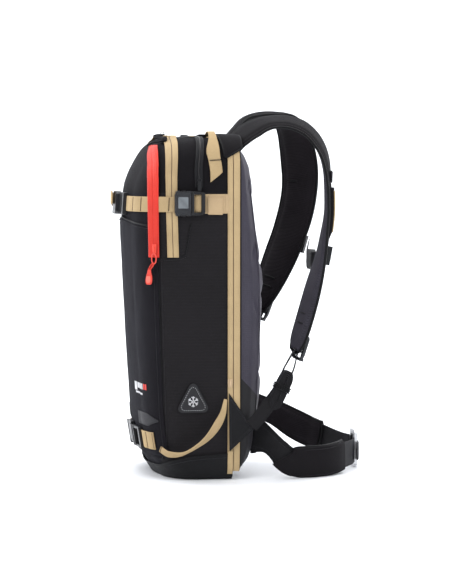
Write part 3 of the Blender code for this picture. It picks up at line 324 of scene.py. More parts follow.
M_CYL = brushed("cylinder_metal_face", (0.20, 0.21, 0.24), rough=0.3)
M_BLADDER = cloth("bladder_cloth", (0.75, 0.16, 0.03), pitch=0.0012, rough=0.5, sheen=0.15, crease=0.0022, dark=1.0)
M_SHEET = moulded("frame_sheet_plastic", (0.105, 0.105, 0.110), rough=0.5)


# ------------------------------------------------------------------ the bag's skin
TOP_Z, HALF_W, SPLIT_X = 0.500, 0.130, 0.046
ROUND_Z, ROUND_Y = 0.042, 0.045
CORNER_X, CORNER_Y, CROWN = 0.052, 0.072, 0.005
FRONT = [(0.0, -0.052), (0.010, -0.058), (0.022, -0.066), (0.040, -0.075), (0.077, -0.081), (0.114, -0.084),
         (0.206, -0.090), (0.298, -0.0945), (0.380, -0.098), (0.426, -0.095), (0.445, -0.089),
         (0.463, -0.080), (0.481, -0.070), (0.491, -0.061), (0.500, -0.046)]
PANEL = [(0.010, 0.064), (0.022, 0.073), (0.036, 0.080), (0.05, 0.084), (0.12, 0.0915), (0.17, 0.094), (0.22, 0.0965), (0.28, 0.0965), (0.32, 0.094),
         (0.36, 0.0895), (0.40, 0.084), (0.44, 0.078), (0.47, 0.071), (0.49, 0.060)]


def curve_at(table, z):
    n = len(table)
    if z <= table[0][0]:
        return table[0][1]
    if z >= table[-1][0]:
        return table[-1][1]
    i = max(k for k in range(n - 1) if table[k][0] <= z)

    def slope(k):
        a, b = max(k - 1, 0), min(k + 1, n - 1)
        return (table[b][1] - table[a][1]) / (table[b][0] - table[a][0])

    h = table[i + 1][0] - table[i][0]
    t = (z - table[i][0]) / h
    p0, p1, m0, m1 = table[i][1], table[i + 1][1], slope(i) * h, slope(i + 1) * h
    return ((2 * t**3 - 3 * t**2 + 1) * p0 + (t**3 - 2 * t**2 + t) * m0
            + (-2 * t**3 + 3 * t**2) * p1 + (t**3 - t**2) * m1)


def half_w(z):
    return HALF_W - 0.006 * max(0.0, 1 - z / 0.10) ** 2


def inset_at(z):
    lo = TOP_Z - ROUND_Z
    if z > lo:
        return ROUND_Y * (1 - math.sqrt(max(0.0, 1 - ((z - lo) / ROUND_Z) ** 2)))
    if z < 0.020:
        return 0.010 * (1 - math.sqrt(max(0.0, 1 - ((0.020 - z) / 0.020) ** 2)))
    return 0.0


def edge_level(psi_deg, off=0.0):
    psi = math.radians(psi_deg)
    return TOP_Z - ROUND_Z + (ROUND_Z + off) * math.sin(psi), ROUND_Y - (ROUND_Y + off) * math.cos(psi)


def level(h, off):
    """Height and inset at arc height h: the wall up to 0.4575, then the rounded edge to 0.5235."""
    if h <= 0.4575:
        return h, inset_at(h) - off
    return edge_level(min((h - 0.4575) / 0.066 * 90, 90), off)


def side_xy(side, x, z, off, inset):
    front = curve_at(FRONT, min(z, TOP_Z)) - off + CROWN
    y_c = HALF_W - CORNER_Y - 0.5 * max(inset, 0)
    c = half_w(z) - inset - y_c
    x_c = front + CORNER_X + off - CROWN
    d = x_c - front
    y = half_w(z) - inset
    if x < x_c:
        s = min((x_c - x) / d, 1.0)
        y = y_c + c * math.sqrt(max(0.0, 1 - s * s))
    return Vector((x, side * y, z))


def S(side, x, h, off=0.0):
    """Skin point on a side at depth x and arc height h, carried on over the flat top."""
    z, inset = level(h, off)
    p = side_xy(side, x, z, off, inset)
    if h > 0.5235:
        p.y = side * (abs(p.y) - (h - 0.5235))
    return p


def Q(q, h, off=0.0):
    """Skin point round the front: 0..1 near corner, 1..2 front face, 2..3 far corner."""
    z, inset = level(h, off)
    front = curve_at(FRONT, min(z, TOP_Z)) - off
    y_c = HALF_W - CORNER_Y - 0.5 * max(inset, 0)
    c = half_w(z) - inset - y_c
    x_c = front + CORNER_X + off
    d = x_c - (front + CROWN)
    if q <= 1:
        a = q * pi / 2
        return Vector((x_c - d * math.sin(a), -(y_c + c * math.cos(a)), z))
    if q >= 2:
        a = (3 - q) * pi / 2
        return Vector((x_c - d * math.sin(a), y_c + c * math.cos(a), z))
    y = (q - 1.5) * 2 * y_c
    return Vector((front + CROWN * (y / y_c) ** 2, y, z))


def sag(p):
    """Slack of sewn cloth, always inwards, in metres."""
    a = noise.noise(Vector((p.x * 16, p.y * 16, p.z * 11)))
    b = noise.noise(Vector((p.x * 45 + 7, p.y * 45, p.z * 30)))
    c = abs(noise.noise(Vector((p.x * 26 - 3, p.y * 26, p.z * 60 + 5))))
    return -(0.0009 + 0.0009 * a + 0.0004 * b + 0.0007 * c)


# ------------------------------------------------------------------ mesh tools
def new_object(name, verts, faces, mats, smooth=True, sharp=40, uvs=None, face_mats=None, origin=None):
    me = bpy.data.meshes.new(name)
    me.from_pydata([tuple(v) for v in verts], [], faces)
    if uvs is not None:
        layer = me.uv_layers.new(name="UVMap")
        for li, loop in enumerate(me.loops):
            layer.data[li].uv = uvs[loop.vertex_index]
    for m in (mats if isinstance(mats, (list, tuple)) else [mats]):
        me.materials.append(m)
    if face_mats is not None:
        for p, k in zip(me.polygons, face_mats):
            p.material_index = k
    bm = bmesh.new()
    bm.from_mesh(me)
    bmesh.ops.recalc_face_normals(bm, faces=bm.faces)
    bm.to_mesh(me)
    bm.free()
    if smooth:
        me.shade_smooth()
        if sharp:
            me.set_sharp_from_angle(angle=math.radians(sharp))
    ob = bpy.data.objects.new(name, me)
    scene.collection.objects.link(ob)
    return ob


def merged(name, pieces, mats, smooth=True, sharp=40, bevel=0.0, segs=2):
    """One object out of several (verts, faces[, material index]) lists."""
    verts, faces, idx = [], [], []
    for piece in pieces:
        v, f = piece[0], piece[1]
        k = piece[2] if len(piece) > 2 else 0
        b = len(verts)
        verts += list(v)
        faces += [tuple(i + b for i in face) for face in f]
        idx += [k] * len(f)
    ob = new_object(name, verts, faces, mats, smooth, sharp, face_mats=idx)
    if bevel:
        m = ob.modifiers.new("bevel", "BEVEL")
        m.width, m.segments, m.limit_method, m.angle_limit = bevel, segs, "ANGLE", math.radians(30)
        m.harden_normals = False
    return ob


def box_data(lo, hi, M=None, k=0):
    M = M or Matrix.Identity(4)
    x0, y0, z0 = lo
    x1, y1, z1 = hi
    v = [M @ Vector(p) for p in ((x0, y0, z0), (x1, y0, z0), (x1, y1, z0), (x0, y1, z0),
                                 (x0, y0, z1), (x1, y0, z1), (x1, y1, z1), (x0, y1, z1))]
    return v, [(0, 3, 2, 1), (4, 5, 6, 7), (0, 1, 5, 4), (1, 2, 6, 5), (2, 3, 7, 6), (3, 0, 4, 7)], k


def prism_data(outline, t0, t1, M=None, k=0):
    M = M or Matrix.Identity(4)
    n = len(outline)
    v = [M @ Vector((x, y, t0)) for x, y in outline] + [M @ Vector((x, y, t1)) for x, y in outline]
    f = [tuple(reversed(range(n))), tuple(range(n, 2 * n))]
    f += [(i, (i + 1) % n, n + (i + 1) % n, n + i) for i in range(n)]
    return v, f, k


def rounded_rect(w, h, r, n=5):
    out = []
    for cx, cy, a0 in ((w / 2 - r, h / 2 - r, 0), (-w / 2 + r, h / 2 - r, 90), (-w / 2 + r, -h / 2 + r, 180), (w / 2 - r, -h / 2 + r, 270)):
        for k in range(n + 1):
            a = math.radians(a0 + 90 * k / n)
            out.append((cx + r * math.cos(a), cy + r * math.sin(a)))
    return out


def catmull(pts, n, *comp):
    rows = [[Vector(p) for p in pts]] + [[Vector(c) for c in li] for li in comp]
    ext = [[li[0] * 2 - li[1]] + li + [li[-1] * 2 - li[-2]] for li in rows]
    fine = []
    for i in range(1, len(pts)):
        for k in range(16):
            t = k / 16
            fine.append([0.5 * ((2 * e[i]) + (e[i + 1] - e[i - 1]) * t
                                + (2 * e[i - 1] - 5 * e[i] + 4 * e[i + 1] - e[i + 2]) * t * t
                                + (3 * e[i] - e[i - 1] - 3 * e[i + 1] + e[i + 2]) * t**3) for e in ext])
    fine.append([li[-1] for li in rows])
    L = [0.0]
    for a, b in zip(fine, fine[1:]):
        L.append(L[-1] + (b[0] - a[0]).length)
    out, j = [], 0
    for k in range(n):
        want = L[-1] * k / (n - 1)
        while j < len(fine) - 2 and L[j + 1] < want:
            j += 1
        span = L[j + 1] - L[j]
        f = 0 if span < 1e-12 else min(max((want - L[j]) / span, 0), 1)
        out.append([p.lerp(q, f) for p, q in zip(fine[j], fine[j + 1])])
    return [list(c) for c in zip(*out)]


def frames_of(path, wide):
    out = []
    for i, p in enumerate(path):
        t = (path[min(i + 1, len(path) - 1)] - path[max(i - 1, 0)]).normalized()
        w = (wide[i] - t * wide[i].dot(t)).normalized()
        out.append((p, t, w, t.cross(w)))
    return out


def tube(name, pts, r, mat, sides=8, n=None, closed=False, radii=None):
    """Round tube through points, ends closed by a flat cap."""
    path = [Vector(p) for p in pts] if n is None else catmull(pts, n)[0]
    m = len(path)
    verts, faces, uvs = [], [], []
    prev = None
    run = 0.0
    for i, p in enumerate(path):
        a, b = (path[(i - 1) % m], path[(i + 1) % m]) if closed else (path[max(i - 1, 0)], path[min(i + 1, m - 1)])
        t = (b - a).normalized()
        if prev is None:
            prev = t.orthogonal().normalized()
        u = (prev - t * prev.dot(t)).normalized()
        prev = u
        v = t.cross(u)
        rr = radii[i] if radii else r
        if i:
            run += (p - path[i - 1]).length
        for k in range(sides):
            c = 2 * pi * k / sides
            verts.append(p + (u * math.cos(c) + v * math.sin(c)) * rr)
            uvs.append((rr * c, run))
    for i in range(m if closed else m - 1):
        for k in range(sides):
            a, b = i * sides + k, i * sides + (k + 1) % sides
            c, d = ((i + 1) % m) * sides + (k + 1) % sides, ((i + 1) % m) * sides + k
            faces.append((a, b, c, d))
    if not closed:
        faces.append(tuple(range(sides)))
        faces.append(tuple(range((m - 1) * sides, m * sides)))
    return new_object(name, verts, faces, mat, uvs=uvs, sharp=60)


def ribbon(name, rows, thick_fn, mat, sharp=50):
    """Closed flat band. rows: stations of (left point, right point, outward normal); the cross-section is rounded."""
    verts, faces, uvs = [], [], []
    prof = [(-1.0, 0.0), (-1.0, 0.55), (-0.94, 0.92), (-0.6, 1.0), (0.0, 1.0), (0.6, 1.0), (0.94, 0.92), (1.0, 0.55), (1.0, 0.0), (0.0, 0.0)]
    k = len(prof)
    run, last = 0.0, None
    for i, (a, b, nrm) in enumerate(rows):
        c = (a + b) / 2
        if last is not None:
            run += (c - last).length
        last = c
        w = (b - a).length
        t = thick_fn(i / (len(rows) - 1))
        for s, e in prof:
            verts.append(c + (b - a) * (s / 2) + nrm * (t * e))
            uvs.append((s * w / 2 + w / 2, run))
    for i in range(len(rows) - 1):
        for j in range(k):
            faces.append((i * k + j, i * k + (j + 1) % k, (i + 1) * k + (j + 1) % k, (i + 1) * k + j))
    faces.append(tuple(range(k)))
    faces.append(tuple(range((len(rows) - 1) * k, len(rows) * k)))
    return new_object(name, verts, faces, mat, uvs=uvs, sharp=sharp)


def skin_normal(fn, a, b, off):
    """Outward direction of a skin function at its two parameters."""
    return (fn(a, b, off + 0.002) - fn(a, b, off)).normalized()


def skin_band(name, fn, centre, off, thick, mat, cols=6, lift=None):
    """Tape laid on the skin. centre lists (a0, a1, h): its two edges in the skin's first parameter and its height."""
    rows_o, rows_i, uvs = [], [], []
    run, last = 0.0, None
    for i, (a0, a1, h) in enumerate(centre):
        ro, ri = [], []
        up = lift(i / (len(centre) - 1)) if lift else 0.0
        for c in range(cols + 1):
            s = c / cols
            a = a0 + (a1 - a0) * s
            e = 1 - abs(2 * s - 1) ** 8 * 0.45
            ro.append(fn(a, h, off + up + thick * e))
            ri.append(fn(a, h, off + up))
        m = ro[cols // 2]
        if last is not None:
            run += (m - last).length
        last = m
        w = (ro[-1] - ro[0]).length
        rows_o.append(ro)
        rows_i.append(ri)
        uvs.append([(w * c / cols, run) for c in range(cols + 1)])
    k = cols + 1
    verts, uv, faces = [], [], []
    for ro, ri, u in zip(rows_o, rows_i, uvs):
        verts += ro + ri[::-1]
        uv += u + u[::-1]
    n = 2 * k
    for i in range(len(rows_o) - 1):
        for j in range(n):
            faces.append((i * n + j, i * n + (j + 1) % n, (i + 1) * n + (j + 1) % n, (i + 1) * n + j))
    faces.append(tuple(range(n)))
    faces.append(tuple(range((len(rows_o) - 1) * n, len(rows_o) * n)))
    return new_object(name, verts, faces, mat, uvs=uv, sharp=50)


def stitch_data(pts, normal_fn, pitch=0.0030, length=0.0021, r=0.00032):
    """Run of small thread stitches along a polyline."""
    L = [0.0]
    for a, b in zip(pts, pts[1:]):
        L.append(L[-1] + (b - a).length)
    out = []
    n = int(L[-1] / pitch)
    j = 0
    for k in range(n):
        want = (k + 0.5) * L[-1] / max(n, 1)
        while j < len(L) - 2 and L[j + 1] < want:
            j += 1
        f = (want - L[j]) / max(L[j + 1] - L[j], 1e-9)
        p = pts[j].lerp(pts[j + 1], f)
        t = (pts[j + 1] - pts[j]).normalized()
        nn = normal_fn(p, j)
        s = t.cross(nn).normalized()
        h = length / 2
        v = [p - t * h, p - t * h * 0.5 + s * r, p - t * h * 0.5 + nn * r, p - t * h * 0.5 - s * r,
             p + t * h * 0.5 + s * r, p + t * h * 0.5 + nn * r, p + t * h * 0.5 - s * r, p + t * h]
        f8 = [(0, 2, 1), (0, 3, 2), (1, 2, 5, 4), (2, 3, 6, 5), (4, 5, 7), (5, 6, 7), (0, 1, 3), (1, 4, 6, 3), (4, 7, 6)]
        out.append((v, f8))
    return out


def stitches(name, runs, mat, pitch=0.0030, length=0.0021, r=0.00032):
    """runs: list of (points, normal function)."""
    pieces = []
    for pts, nf in runs:
        pieces += stitch_data(pts, nf, pitch, length, r)
    return merged(name, pieces, mat, sharp=None)


def skin_line(fn, marks, off, n=40):
    """Points on the skin between (a, h) marks, straight in the skin's own parameters."""
    out = []
    seg = [(Vector((*marks[i + 1], 0)) - Vector((*marks[i], 0))).length for i in range(len(marks) - 1)]
    total = sum(seg)
    for i in range(len(marks) - 1):
        k = max(2, int(n * seg[i] / total))
        for j in range(k + (i == len(marks) - 2)):
            t = j / k
            out.append(fn(marks[i][0] + (marks[i + 1][0] - marks[i][0]) * t, marks[i][1] + (marks[i + 1][1] - marks[i][1]) * t, off))
    return out


def near(x, h, off=0.0):
    return S(-1, x, h, off)


def far(x, h, off=0.0):
    return S(1, x, h, off)


def out_near(p, j):
    return Vector((0, -1, 0)) if p.x > -0.05 else Vector((-0.55, -0.83, 0)).normalized()


def out_far(p, j):
    return Vector((0, 1, 0)) if p.x > -0.05 else Vector((-0.55, 0.83, 0)).normalized()


def ride(ob, body):
    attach(ob, body)
    return ob


def bevelled(node, mat, width=0.0006, segs=2):
    """A CAD node that keeps its shape: softened edges and a finished material."""
    ob = nodes[node]
    if width:
        m = ob.modifiers.new("edge", "BEVEL")
        m.width, m.segments, m.limit_method, m.angle_limit = width, segs, "ANGLE", math.radians(28)
    ob.data.materials.clear()
    ob.data.materials.append(mat)
    return ob


# ------------------------------------------------------------------ bag shell
def ring_at(h, off, slack=True, corner=16, face=12, side=22):
    pts = []
    first = Q(0, h, off)
    for k in range(side):
        x = SPLIT_X + (first.x - SPLIT_X) * k / side
        z, inset = level(h, off)
        pts.append(Vector((x, -(half_w(z) - inset), z)))
    pts += [Q(k / corner, h, off) for k in range(corner + 1)]
    pts += [Q(1 + k / face, h, off) for k in range(1, face)]
    pts += [Q(2 + k / corner, h, off) for k in range(corner + 1)]
    last = pts[-1]
    for k in range(1, side + 1):
        x = last.x + (SPLIT_X - last.x) * k / side
        pts.append(Vector((x, last.y, last.z)))
    if slack:
        n = len(pts)
        moved = []
        for i, p in enumerate(pts):
            e = min(i, n - 1 - i)
            fade = min(1.0, e / 3)
            z, inset = level(h, off)
            q = p.copy()
            d = sag(p) * fade
            c = Vector((0.0, 0.0, min(max(z, 0.02), 0.44)))
            v = (p - c)
            v.z *= 0.15 if h < 0.4575 else 1.0
            q += v.normalized() * d
            moved.append(q)
        pts = moved
    return pts


def shell(name, off_o, off_i, mats, seam_x, slack=True, step=0.0065):
    hs = [0.0038]
    while hs[-1] + step < 0.5235:
        hs.append(hs[-1] + step)
    hs.append(0.5235)

    def surface(off, slacked):
        rows = [ring_at(h, off, slacked) for h in hs]
        n = len(rows[0])
        top, bottom = rows[-1], rows[0]
        cap = []
        for t in (0.12, 0.3, 0.5, 0.7, 0.88):
            cap.append([Vector((0.046 + (p.x - 0.046) * (1 - t), p.y * (1 - t), p.z)) for p in top])
        base = []
        for t in (0.88, 0.6, 0.3):
            base.append([Vector((0.046 + (p.x - 0.046) * (1 - t), p.y * (1 - t), p.z)) for p in bottom])
        return base + rows + cap, n

    outer, n = surface(off_o, slack)
    inner, _ = surface(off_i, False)
    verts = [p for r in outer for p in r]
    faces, fm = [], []
    R = len(outer)
    for i in range(R - 1):
        for j in range(n - 1):
            faces.append((i * n + j, i * n + j + 1, (i + 1) * n + j + 1, (i + 1) * n + j))
            c = (verts[faces[-1][0]] + verts[faces[-1][2]]) / 2
            if c.z > 0.418:
                fm.append(2)
            elif c.x < seam_x(c.z):
                fm.append(1)
            else:
                fm.append(0)
    b = len(verts)
    verts += [p for r in inner for p in r]
    for i in range(R - 1):
        for j in range(n - 1):
            faces.append((b + i * n + j, b + (i + 1) * n + j, b + (i + 1) * n + j + 1, b + i * n + j + 1))
            fm.append(3)
    for i in range(R - 1):
        for j in (0, n - 1):
            faces.append((i * n + j, (i + 1) * n + j, b + (i + 1) * n + j, b + i * n + j))
            fm.append(3)
    for i in (0, R - 1):
        for j in range(n - 1):
            faces.append((i * n + j, i * n + j + 1, b + i * n + j + 1, b + i * n + j))
            fm.append(3)
    return new_object(name, verts, faces, mats, face_mats=fm, sharp=60)


bag = shell("bag_shell", 0.0, -0.0034, [M_RIP, M_FRONT, M_TOP, M_LINING], lambda z: -0.0626 + (z - 0.325) * -0.03)
ride(bag, "pack")
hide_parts("main_bag")

# boot: one heavier layer round the base, its edge climbing towards the back
BOOT_EDGE = [(-0.10, 0.0115), (-0.0552, 0.0147), (-0.0243, 0.0281), (0.0112, 0.0352), (0.046, 0.0378)]


def boot_mesh():
    rows = []
    base_ring = ring_at(0.0, 0.0026, slack=False)
    n = len(base_ring)
    for k in range(9):
        t = k / 8
        row = []
        for j, p in enumerate(base_ring):
            top = curve_at(BOOT_EDGE, p.x)
            h = 0.0 + top * t
            side = -1 if p.y < 0 else 1
            q = None
            ringp = ring_at_cache(round(h, 5), 0.0026)[j]
            row.append(ringp)
        rows.append(row)
    return rows, n


_cache = {}


def ring_at_cache(h, off):
    key = (h, off)
    if key not in _cache:
        _cache[key] = ring_at(h, off, slack=False)
    return _cache[key]


rows, n = boot_mesh()
inner = []
for j in range(n):
    p = rows[-1][j]
    inner.append(ring_at_cache(round(p.z, 5), 0.0004)[j])
verts = [p for r in rows for p in r] + inner
faces = []
for i in range(len(rows)):
    for j in range(n - 1):
        faces.append((i * n + j, i * n + j + 1, (i + 1) * n + j + 1, (i + 1) * n + j))
b0 = len(verts)
rings = []
for t in (0.25, 0.55, 0.85):
    rings.append([Vector((0.046 + (p.x - 0.046) * (1 - t), p.y * (1 - t), 0.0)) for p in rows[0]])
verts += [p for r in rings for p in r]
prev = 0
for k, r in enumerate(rings):
    base = b0 + k * n
    for j in range(n - 1):
        faces.append((prev + j + 1, prev + j, base + j, base + j + 1))
    prev = base
boot = new_object("boot", verts, faces, M_BOOT, sharp=60)
sol = boot.modifiers.new("thick", "SOLIDIFY")
sol.thickness = 0.0012
sol.offset = -1
ride(boot, "pack")
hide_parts("base_boot")
edge_pts = [p + Vector((0, 0, 0.0004)) for p in rows[-1]]
ride(tube("boot_piping", edge_pts, 0.0011, M_BINDING, 6), "pack")
runs = [([p - Vector((0, 0, 0.0045)) + (Vector((0, -0.0003, 0)) if p.y < 0 else Vector((0, 0.0003, 0))) for p in rows[-1][2:30]], out_near),
        ([p - Vector((0, 0, 0.0045)) + Vector((0, 0.0003, 0)) for p in rows[-1][-30:-2]], out_far)]
ride(stitches("boot_stitching", runs, M_THREAD_GREY), "pack")

# lower front panel: sewn in at the two corner seams, its stiff hem running behind the red zip
def hem_at(q):
    qq = min(q, 3 - q)
    return 0.3713 + 0.0102 * (min(max(qq, 0.41), 1.5) - 0.41) / 1.09


def cover_edge(z):
    a = 0.352 - 0.067 * min(1.0, max(0.0, (z - 0.10) / 0.225))
    return a + (0.400 - a) * min(1.0, max(0.0, (z - 0.318) / 0.010))


NC, NR = 64, 56
panel_rows = []
for k in range(NR + 1):
    t = k / NR
    z_nom = 0.034 + 0.3400 * t
    qa = cover_edge(z_nom)
    row = []
    for j in range(NC + 1):
        q = qa + (3 - 2 * qa) * j / NC
        z = 0.034 + (hem_at(q) - 0.034) * t
        e = min(1.0, min(j, NC - j) / 9, (NR - k + 4) / 8)
        o_ = 0.0007 + 0.0010 * e + 0.0005 * e * noise.noise(Vector((q * 6, z * 22, 0))) - 0.0005 * e * abs(noise.noise(Vector((q * 9, z * 40, 4))))
        row.append(Q(q, z, o_))
    panel_rows.append(row)
verts = [p for r in panel_rows for p in r]
n = NC + 1
faces = [(i * n + j, i * n + j + 1, (i + 1) * n + j + 1, (i + 1) * n + j) for i in range(NR) for j in range(NC)]
fp = new_object("front_cover", verts, faces, M_FRONT, sharp=60)
sol = fp.modifiers.new("thick", "SOLIDIFY")
sol.thickness, sol.offset = 0.0007, -1
ride(fp, "pack")
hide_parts("front_panel")
ride(tube("front_hem", [p + Vector((0, 0, 0.0004)) for p in panel_rows[-1]], 0.0012, M_BINDING, 6), "pack")
runs = []
for j, f in ((2, out_near), (n - 3, out_far)):
    runs.append(([r[j] + (Vector((-0.0002, -0.0003, 0)) if j == 2 else Vector((-0.0002, 0.0003, 0))) for r in panel_rows], f))
runs.append(([p.lerp(panel_rows[-2][j], 0.7) + Vector((-0.0003, 0, 0)) for j, p in enumerate(panel_rows[-1])], lambda p, j: Vector((-1, 0, 0))))
ride(stitches("front_stitching", runs, M_THREAD_GREY), "pack")

# seams of the side panels and the gusset behind the airbag zip
for fn, outf, tag in ((near, out_near, "right"), (far, out_far, "left")):
    lines = [[(-0.0626, 0.3252), (-0.0600, 0.22), (-0.0560, 0.1004), (-0.0535, 0.030)],
             [(-0.0161, 0.3743), (-0.0242, 0.3295), (-0.0337, 0.3260), (-0.0621, 0.3242)]]
    for k, marks in enumerate(lines):
        pts = skin_line(fn, marks, -0.0006, 60)
        ride(tube(f"seam_{tag}_{k}", pts, 0.0010, M_BINDING, 6), "pack")
    runs = []
    for marks, dx in ((lines[0], 0.0035), (lines[1], 0.0)):
        m2 = [(a + dx, h - (0.0 if dx else 0.0032)) for a, h in marks]
        runs.append((skin_line(fn, m2, 0.0002, 60), outf))
    ride(stitches(f"seam_stitching_{tag}", runs, M_THREAD_GREY, pitch=0.0034), "pack")


# ------------------------------------------------------------------ zips
def two_tapes(name, fn, track, half, gap, off, thick, mat, body="pack", lift=None):
    """Two mirrored tapes meeting at a closed coil: track lists (a, h)."""
    out = []
    for s, tag in ((-1, "a"), (1, "b")):
        centre = [(a + s * gap, a + s * half, h) for a, h in track]
        out.append(ride(skin_band(f"{name}_{tag}", fn, centre, off, thick, mat, cols=5, lift=lift), body))
    return out


def dense(track, n):
    return [(p.x, p.y) for p in catmull([(a, h, 0) for a, h in track], n)[0]]


# red zip of the tool pocket, climbing the near front corner: height, right edge, left edge
TOOL = [(0.3262, 0.238, 0.435), (0.345, 0.228, 0.423), (0.380, 0.221, 0.420), (0.405, 0.233, 0.436), (0.430, 0.270, 0.482), (0.445, 0.337, 0.562),
        (0.4575, 0.416, 0.660), (0.468, 0.503, 0.785), (0.478, 0.592, 0.935), (0.4875, 0.712, 1.085)]
tool3 = catmull([(h, a, b) for h, a, b in TOOL], 52)[0]
tool = [((p.y + p.z) / 2, p.x) for p in tool3]
first = None
for s, tag in ((0, "a"), (1, "b")):
    centre = [(p.y, (p.y + p.z) / 2 - 0.004, p.x) if s == 0 else ((p.y + p.z) / 2 + 0.004, p.z, p.x) for p in tool3]
    o = ride(skin_band(f"tool_zip_{tag}", Q, centre, 0.0042, 0.0014, M_ZIP_RED, cols=6), "pack")
    first = first or o
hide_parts("tool_zip_tape")
pts = [Q(q, h, 0.0046) for q, h in tool]
ride(tube("tool_zip_line", pts, 0.0006, M_THREAD_RED, 6), "pack")
runs = [([Q(p.y + (p.z - p.y) * s, p.x, 0.0058) for p in tool3], lambda p, j: Vector((-0.7, -0.7, 0))) for s in (0.12, 0.88)]
ride(stitches("tool_zip_stitching", runs, M_THREAD_RED, pitch=0.0032), "pack")
# soft garage tape over the upper end of the red zip, up to the airbag zip, with a small cord eye
gp = [Q(1.10, 0.4868, 0.0060), Q(0.92, 0.4915, 0.0068), Q(0.66, 0.4965, 0.0062), near(-0.0560, 0.5060, 0.0052), near(-0.0440, 0.5120, 0.0042)]
P, = catmull(gp, 26)
g_rows = []
for i, p in enumerate(P):
    t = (P[min(i + 1, 25)] - P[max(i - 1, 0)]).normalized()
    nn = Vector((-0.30, -0.62, 0.72))
    nn = (nn - t * nn.dot(t)).normalized()
    w = t.cross(nn)
    g_rows.append((p - w * 0.0034, p + w * 0.0034, nn))
ride(ribbon("zip_garage", g_rows, lambda t: 0.0016 + 0.0008 * math.sin(pi * t) + 0.0005 * math.sin(17 * t), M_TOP), "pack")
gc = P[-2] + Vector((0.0010, 0.0, 0.0042))
ride(tube("zip_garage_eye", [gc + Vector((0.0026 * math.cos(a), 0.0008 * math.cos(a), 0.0020 * math.sin(a))) for a in [2 * pi * k / 18 for k in range(18)]], 0.0006, M_INSET, 6, closed=True), "pack")

# tan burst zip over the airbag, across the top and down both sides
burst_near = dense([(-0.0425, 0.3262), (-0.0435, 0.36), (-0.0445, 0.40), (-0.0448, 0.43), (-0.0446, 0.45), (-0.0425, 0.478), (-0.0397, 0.50), (-0.0375, 0.5235)], 60)
for side, fn, tag in ((-1, near, "right"), (1, far, "left")):
    zone = [(a, h) for a, h in burst_near]
    tapes = two_tapes(f"airbag_zip_{tag}", fn, zone, 0.0083, 0.0005, 0.0010, 0.0013, M_ZIP_TAN,
                      lift=lambda t: 0.0011 * max(0.0, min(1.0, (t - 0.82) / 0.1)))
    if side < 0:
        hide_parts("airbag_zip_tape")
    pts = [fn(a, h, 0.0014 + 0.0011 * max(0.0, min(1.0, (i / 59 - 0.82) / 0.1))) for i, (a, h) in enumerate(zone)]
    ride(tube(f"airbag_zip_line_{tag}", pts, 0.0005, M_COIL_BROWN, 6), "pack")
    outf = out_near if side < 0 else out_far
    runs = [([fn(a + s * 0.0066, h, 0.0024) for a, h in zone[:46]], outf) for s in (-1, 1)]
    runs.append(([fn(-0.0425 + d, 0.3285, 0.0023) for d in (-0.0066, 0.0, 0.0066)], outf))
    ride(stitches(f"airbag_zip_stitching_{tag}", runs, M_THREAD_TAN), "pack")
top_a = [S(-1, -0.0355, 0.5235 + 0.0001 + k * 0.0, 0.0) for k in (0,)]
ya = abs(S(-1, -0.0355, 0.5235, 0.0022).y)
rows2 = []
for k in range(9):
    y = -ya + 2 * ya * k / 8
    rows2.append((Vector((-0.0458, y, 0.5020)), Vector((-0.0292, y, 0.5020)), Vector((0, 0, 1))))
ride(ribbon("airbag_zip_top", rows2, lambda t: 0.0012, M_ZIP_TAN), "pack")

# black zip of the top pocket
topz = dense([(-0.0045, 0.4275), (-0.0048, 0.442), (-0.0050, 0.4575), (-0.0020, 0.48), (0.0008, 0.505), (0.0010, 0.5235)], 34)
for side, fn, tag in ((-1, near, "right"), (1, far, "left")):
    tapes = two_tapes(f"top_zip_{tag}", fn, topz, 0.0060, 0.0011, 0.0006, 0.0012, M_ZIP_BLACK)
    if side < 0:
        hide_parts("top_zip_tape")
    ride(tube(f"top_zip_coil_{tag}", [fn(a, h, 0.0014) for a, h in topz], 0.0012, M_COIL, 8), "pack")
ya = abs(S(-1, 0.001, 0.5235, 0.0008).y)
rows2 = [(Vector((-0.005, -ya + 2 * ya * k / 8, 0.5006)), Vector((0.007, -ya + 2 * ya * k / 8, 0.5006)), Vector((0, 0, 1))) for k in range(9)]
ride(ribbon("top_zip_top", rows2, lambda t: 0.0012, M_ZIP_BLACK), "pack")


def hoop_line(off, z0=0.012, n_wall=46):
    pts = []
    for k in range(n_wall):
        z = z0 + (0.4575 - z0) * k / (n_wall - 1)
        pts.append((-(half_w(z) - (inset_at(z) - off)), z))
    for p in range(6, 91, 6):
        z, i = edge_level(p, off)
        pts.append((-(HALF_W - i), z))
    return pts + [(-y, z) for y, z in reversed(pts)]


def hoop(name, x0, x1, off, thick, mat, body, z0):
    line = hoop_line(off, z0)
    outer = hoop_line(off + thick, z0)
    rows3 = []
    for (y, z), (yo, zo) in zip(line, outer):
        rows3.append((Vector((x0, y, z)), Vector((x1, y, z)), Vector((0, yo - y, zo - z)).normalized()))
    ob = ribbon(name, rows3, lambda t: thick, mat)
    return ride(ob, body)


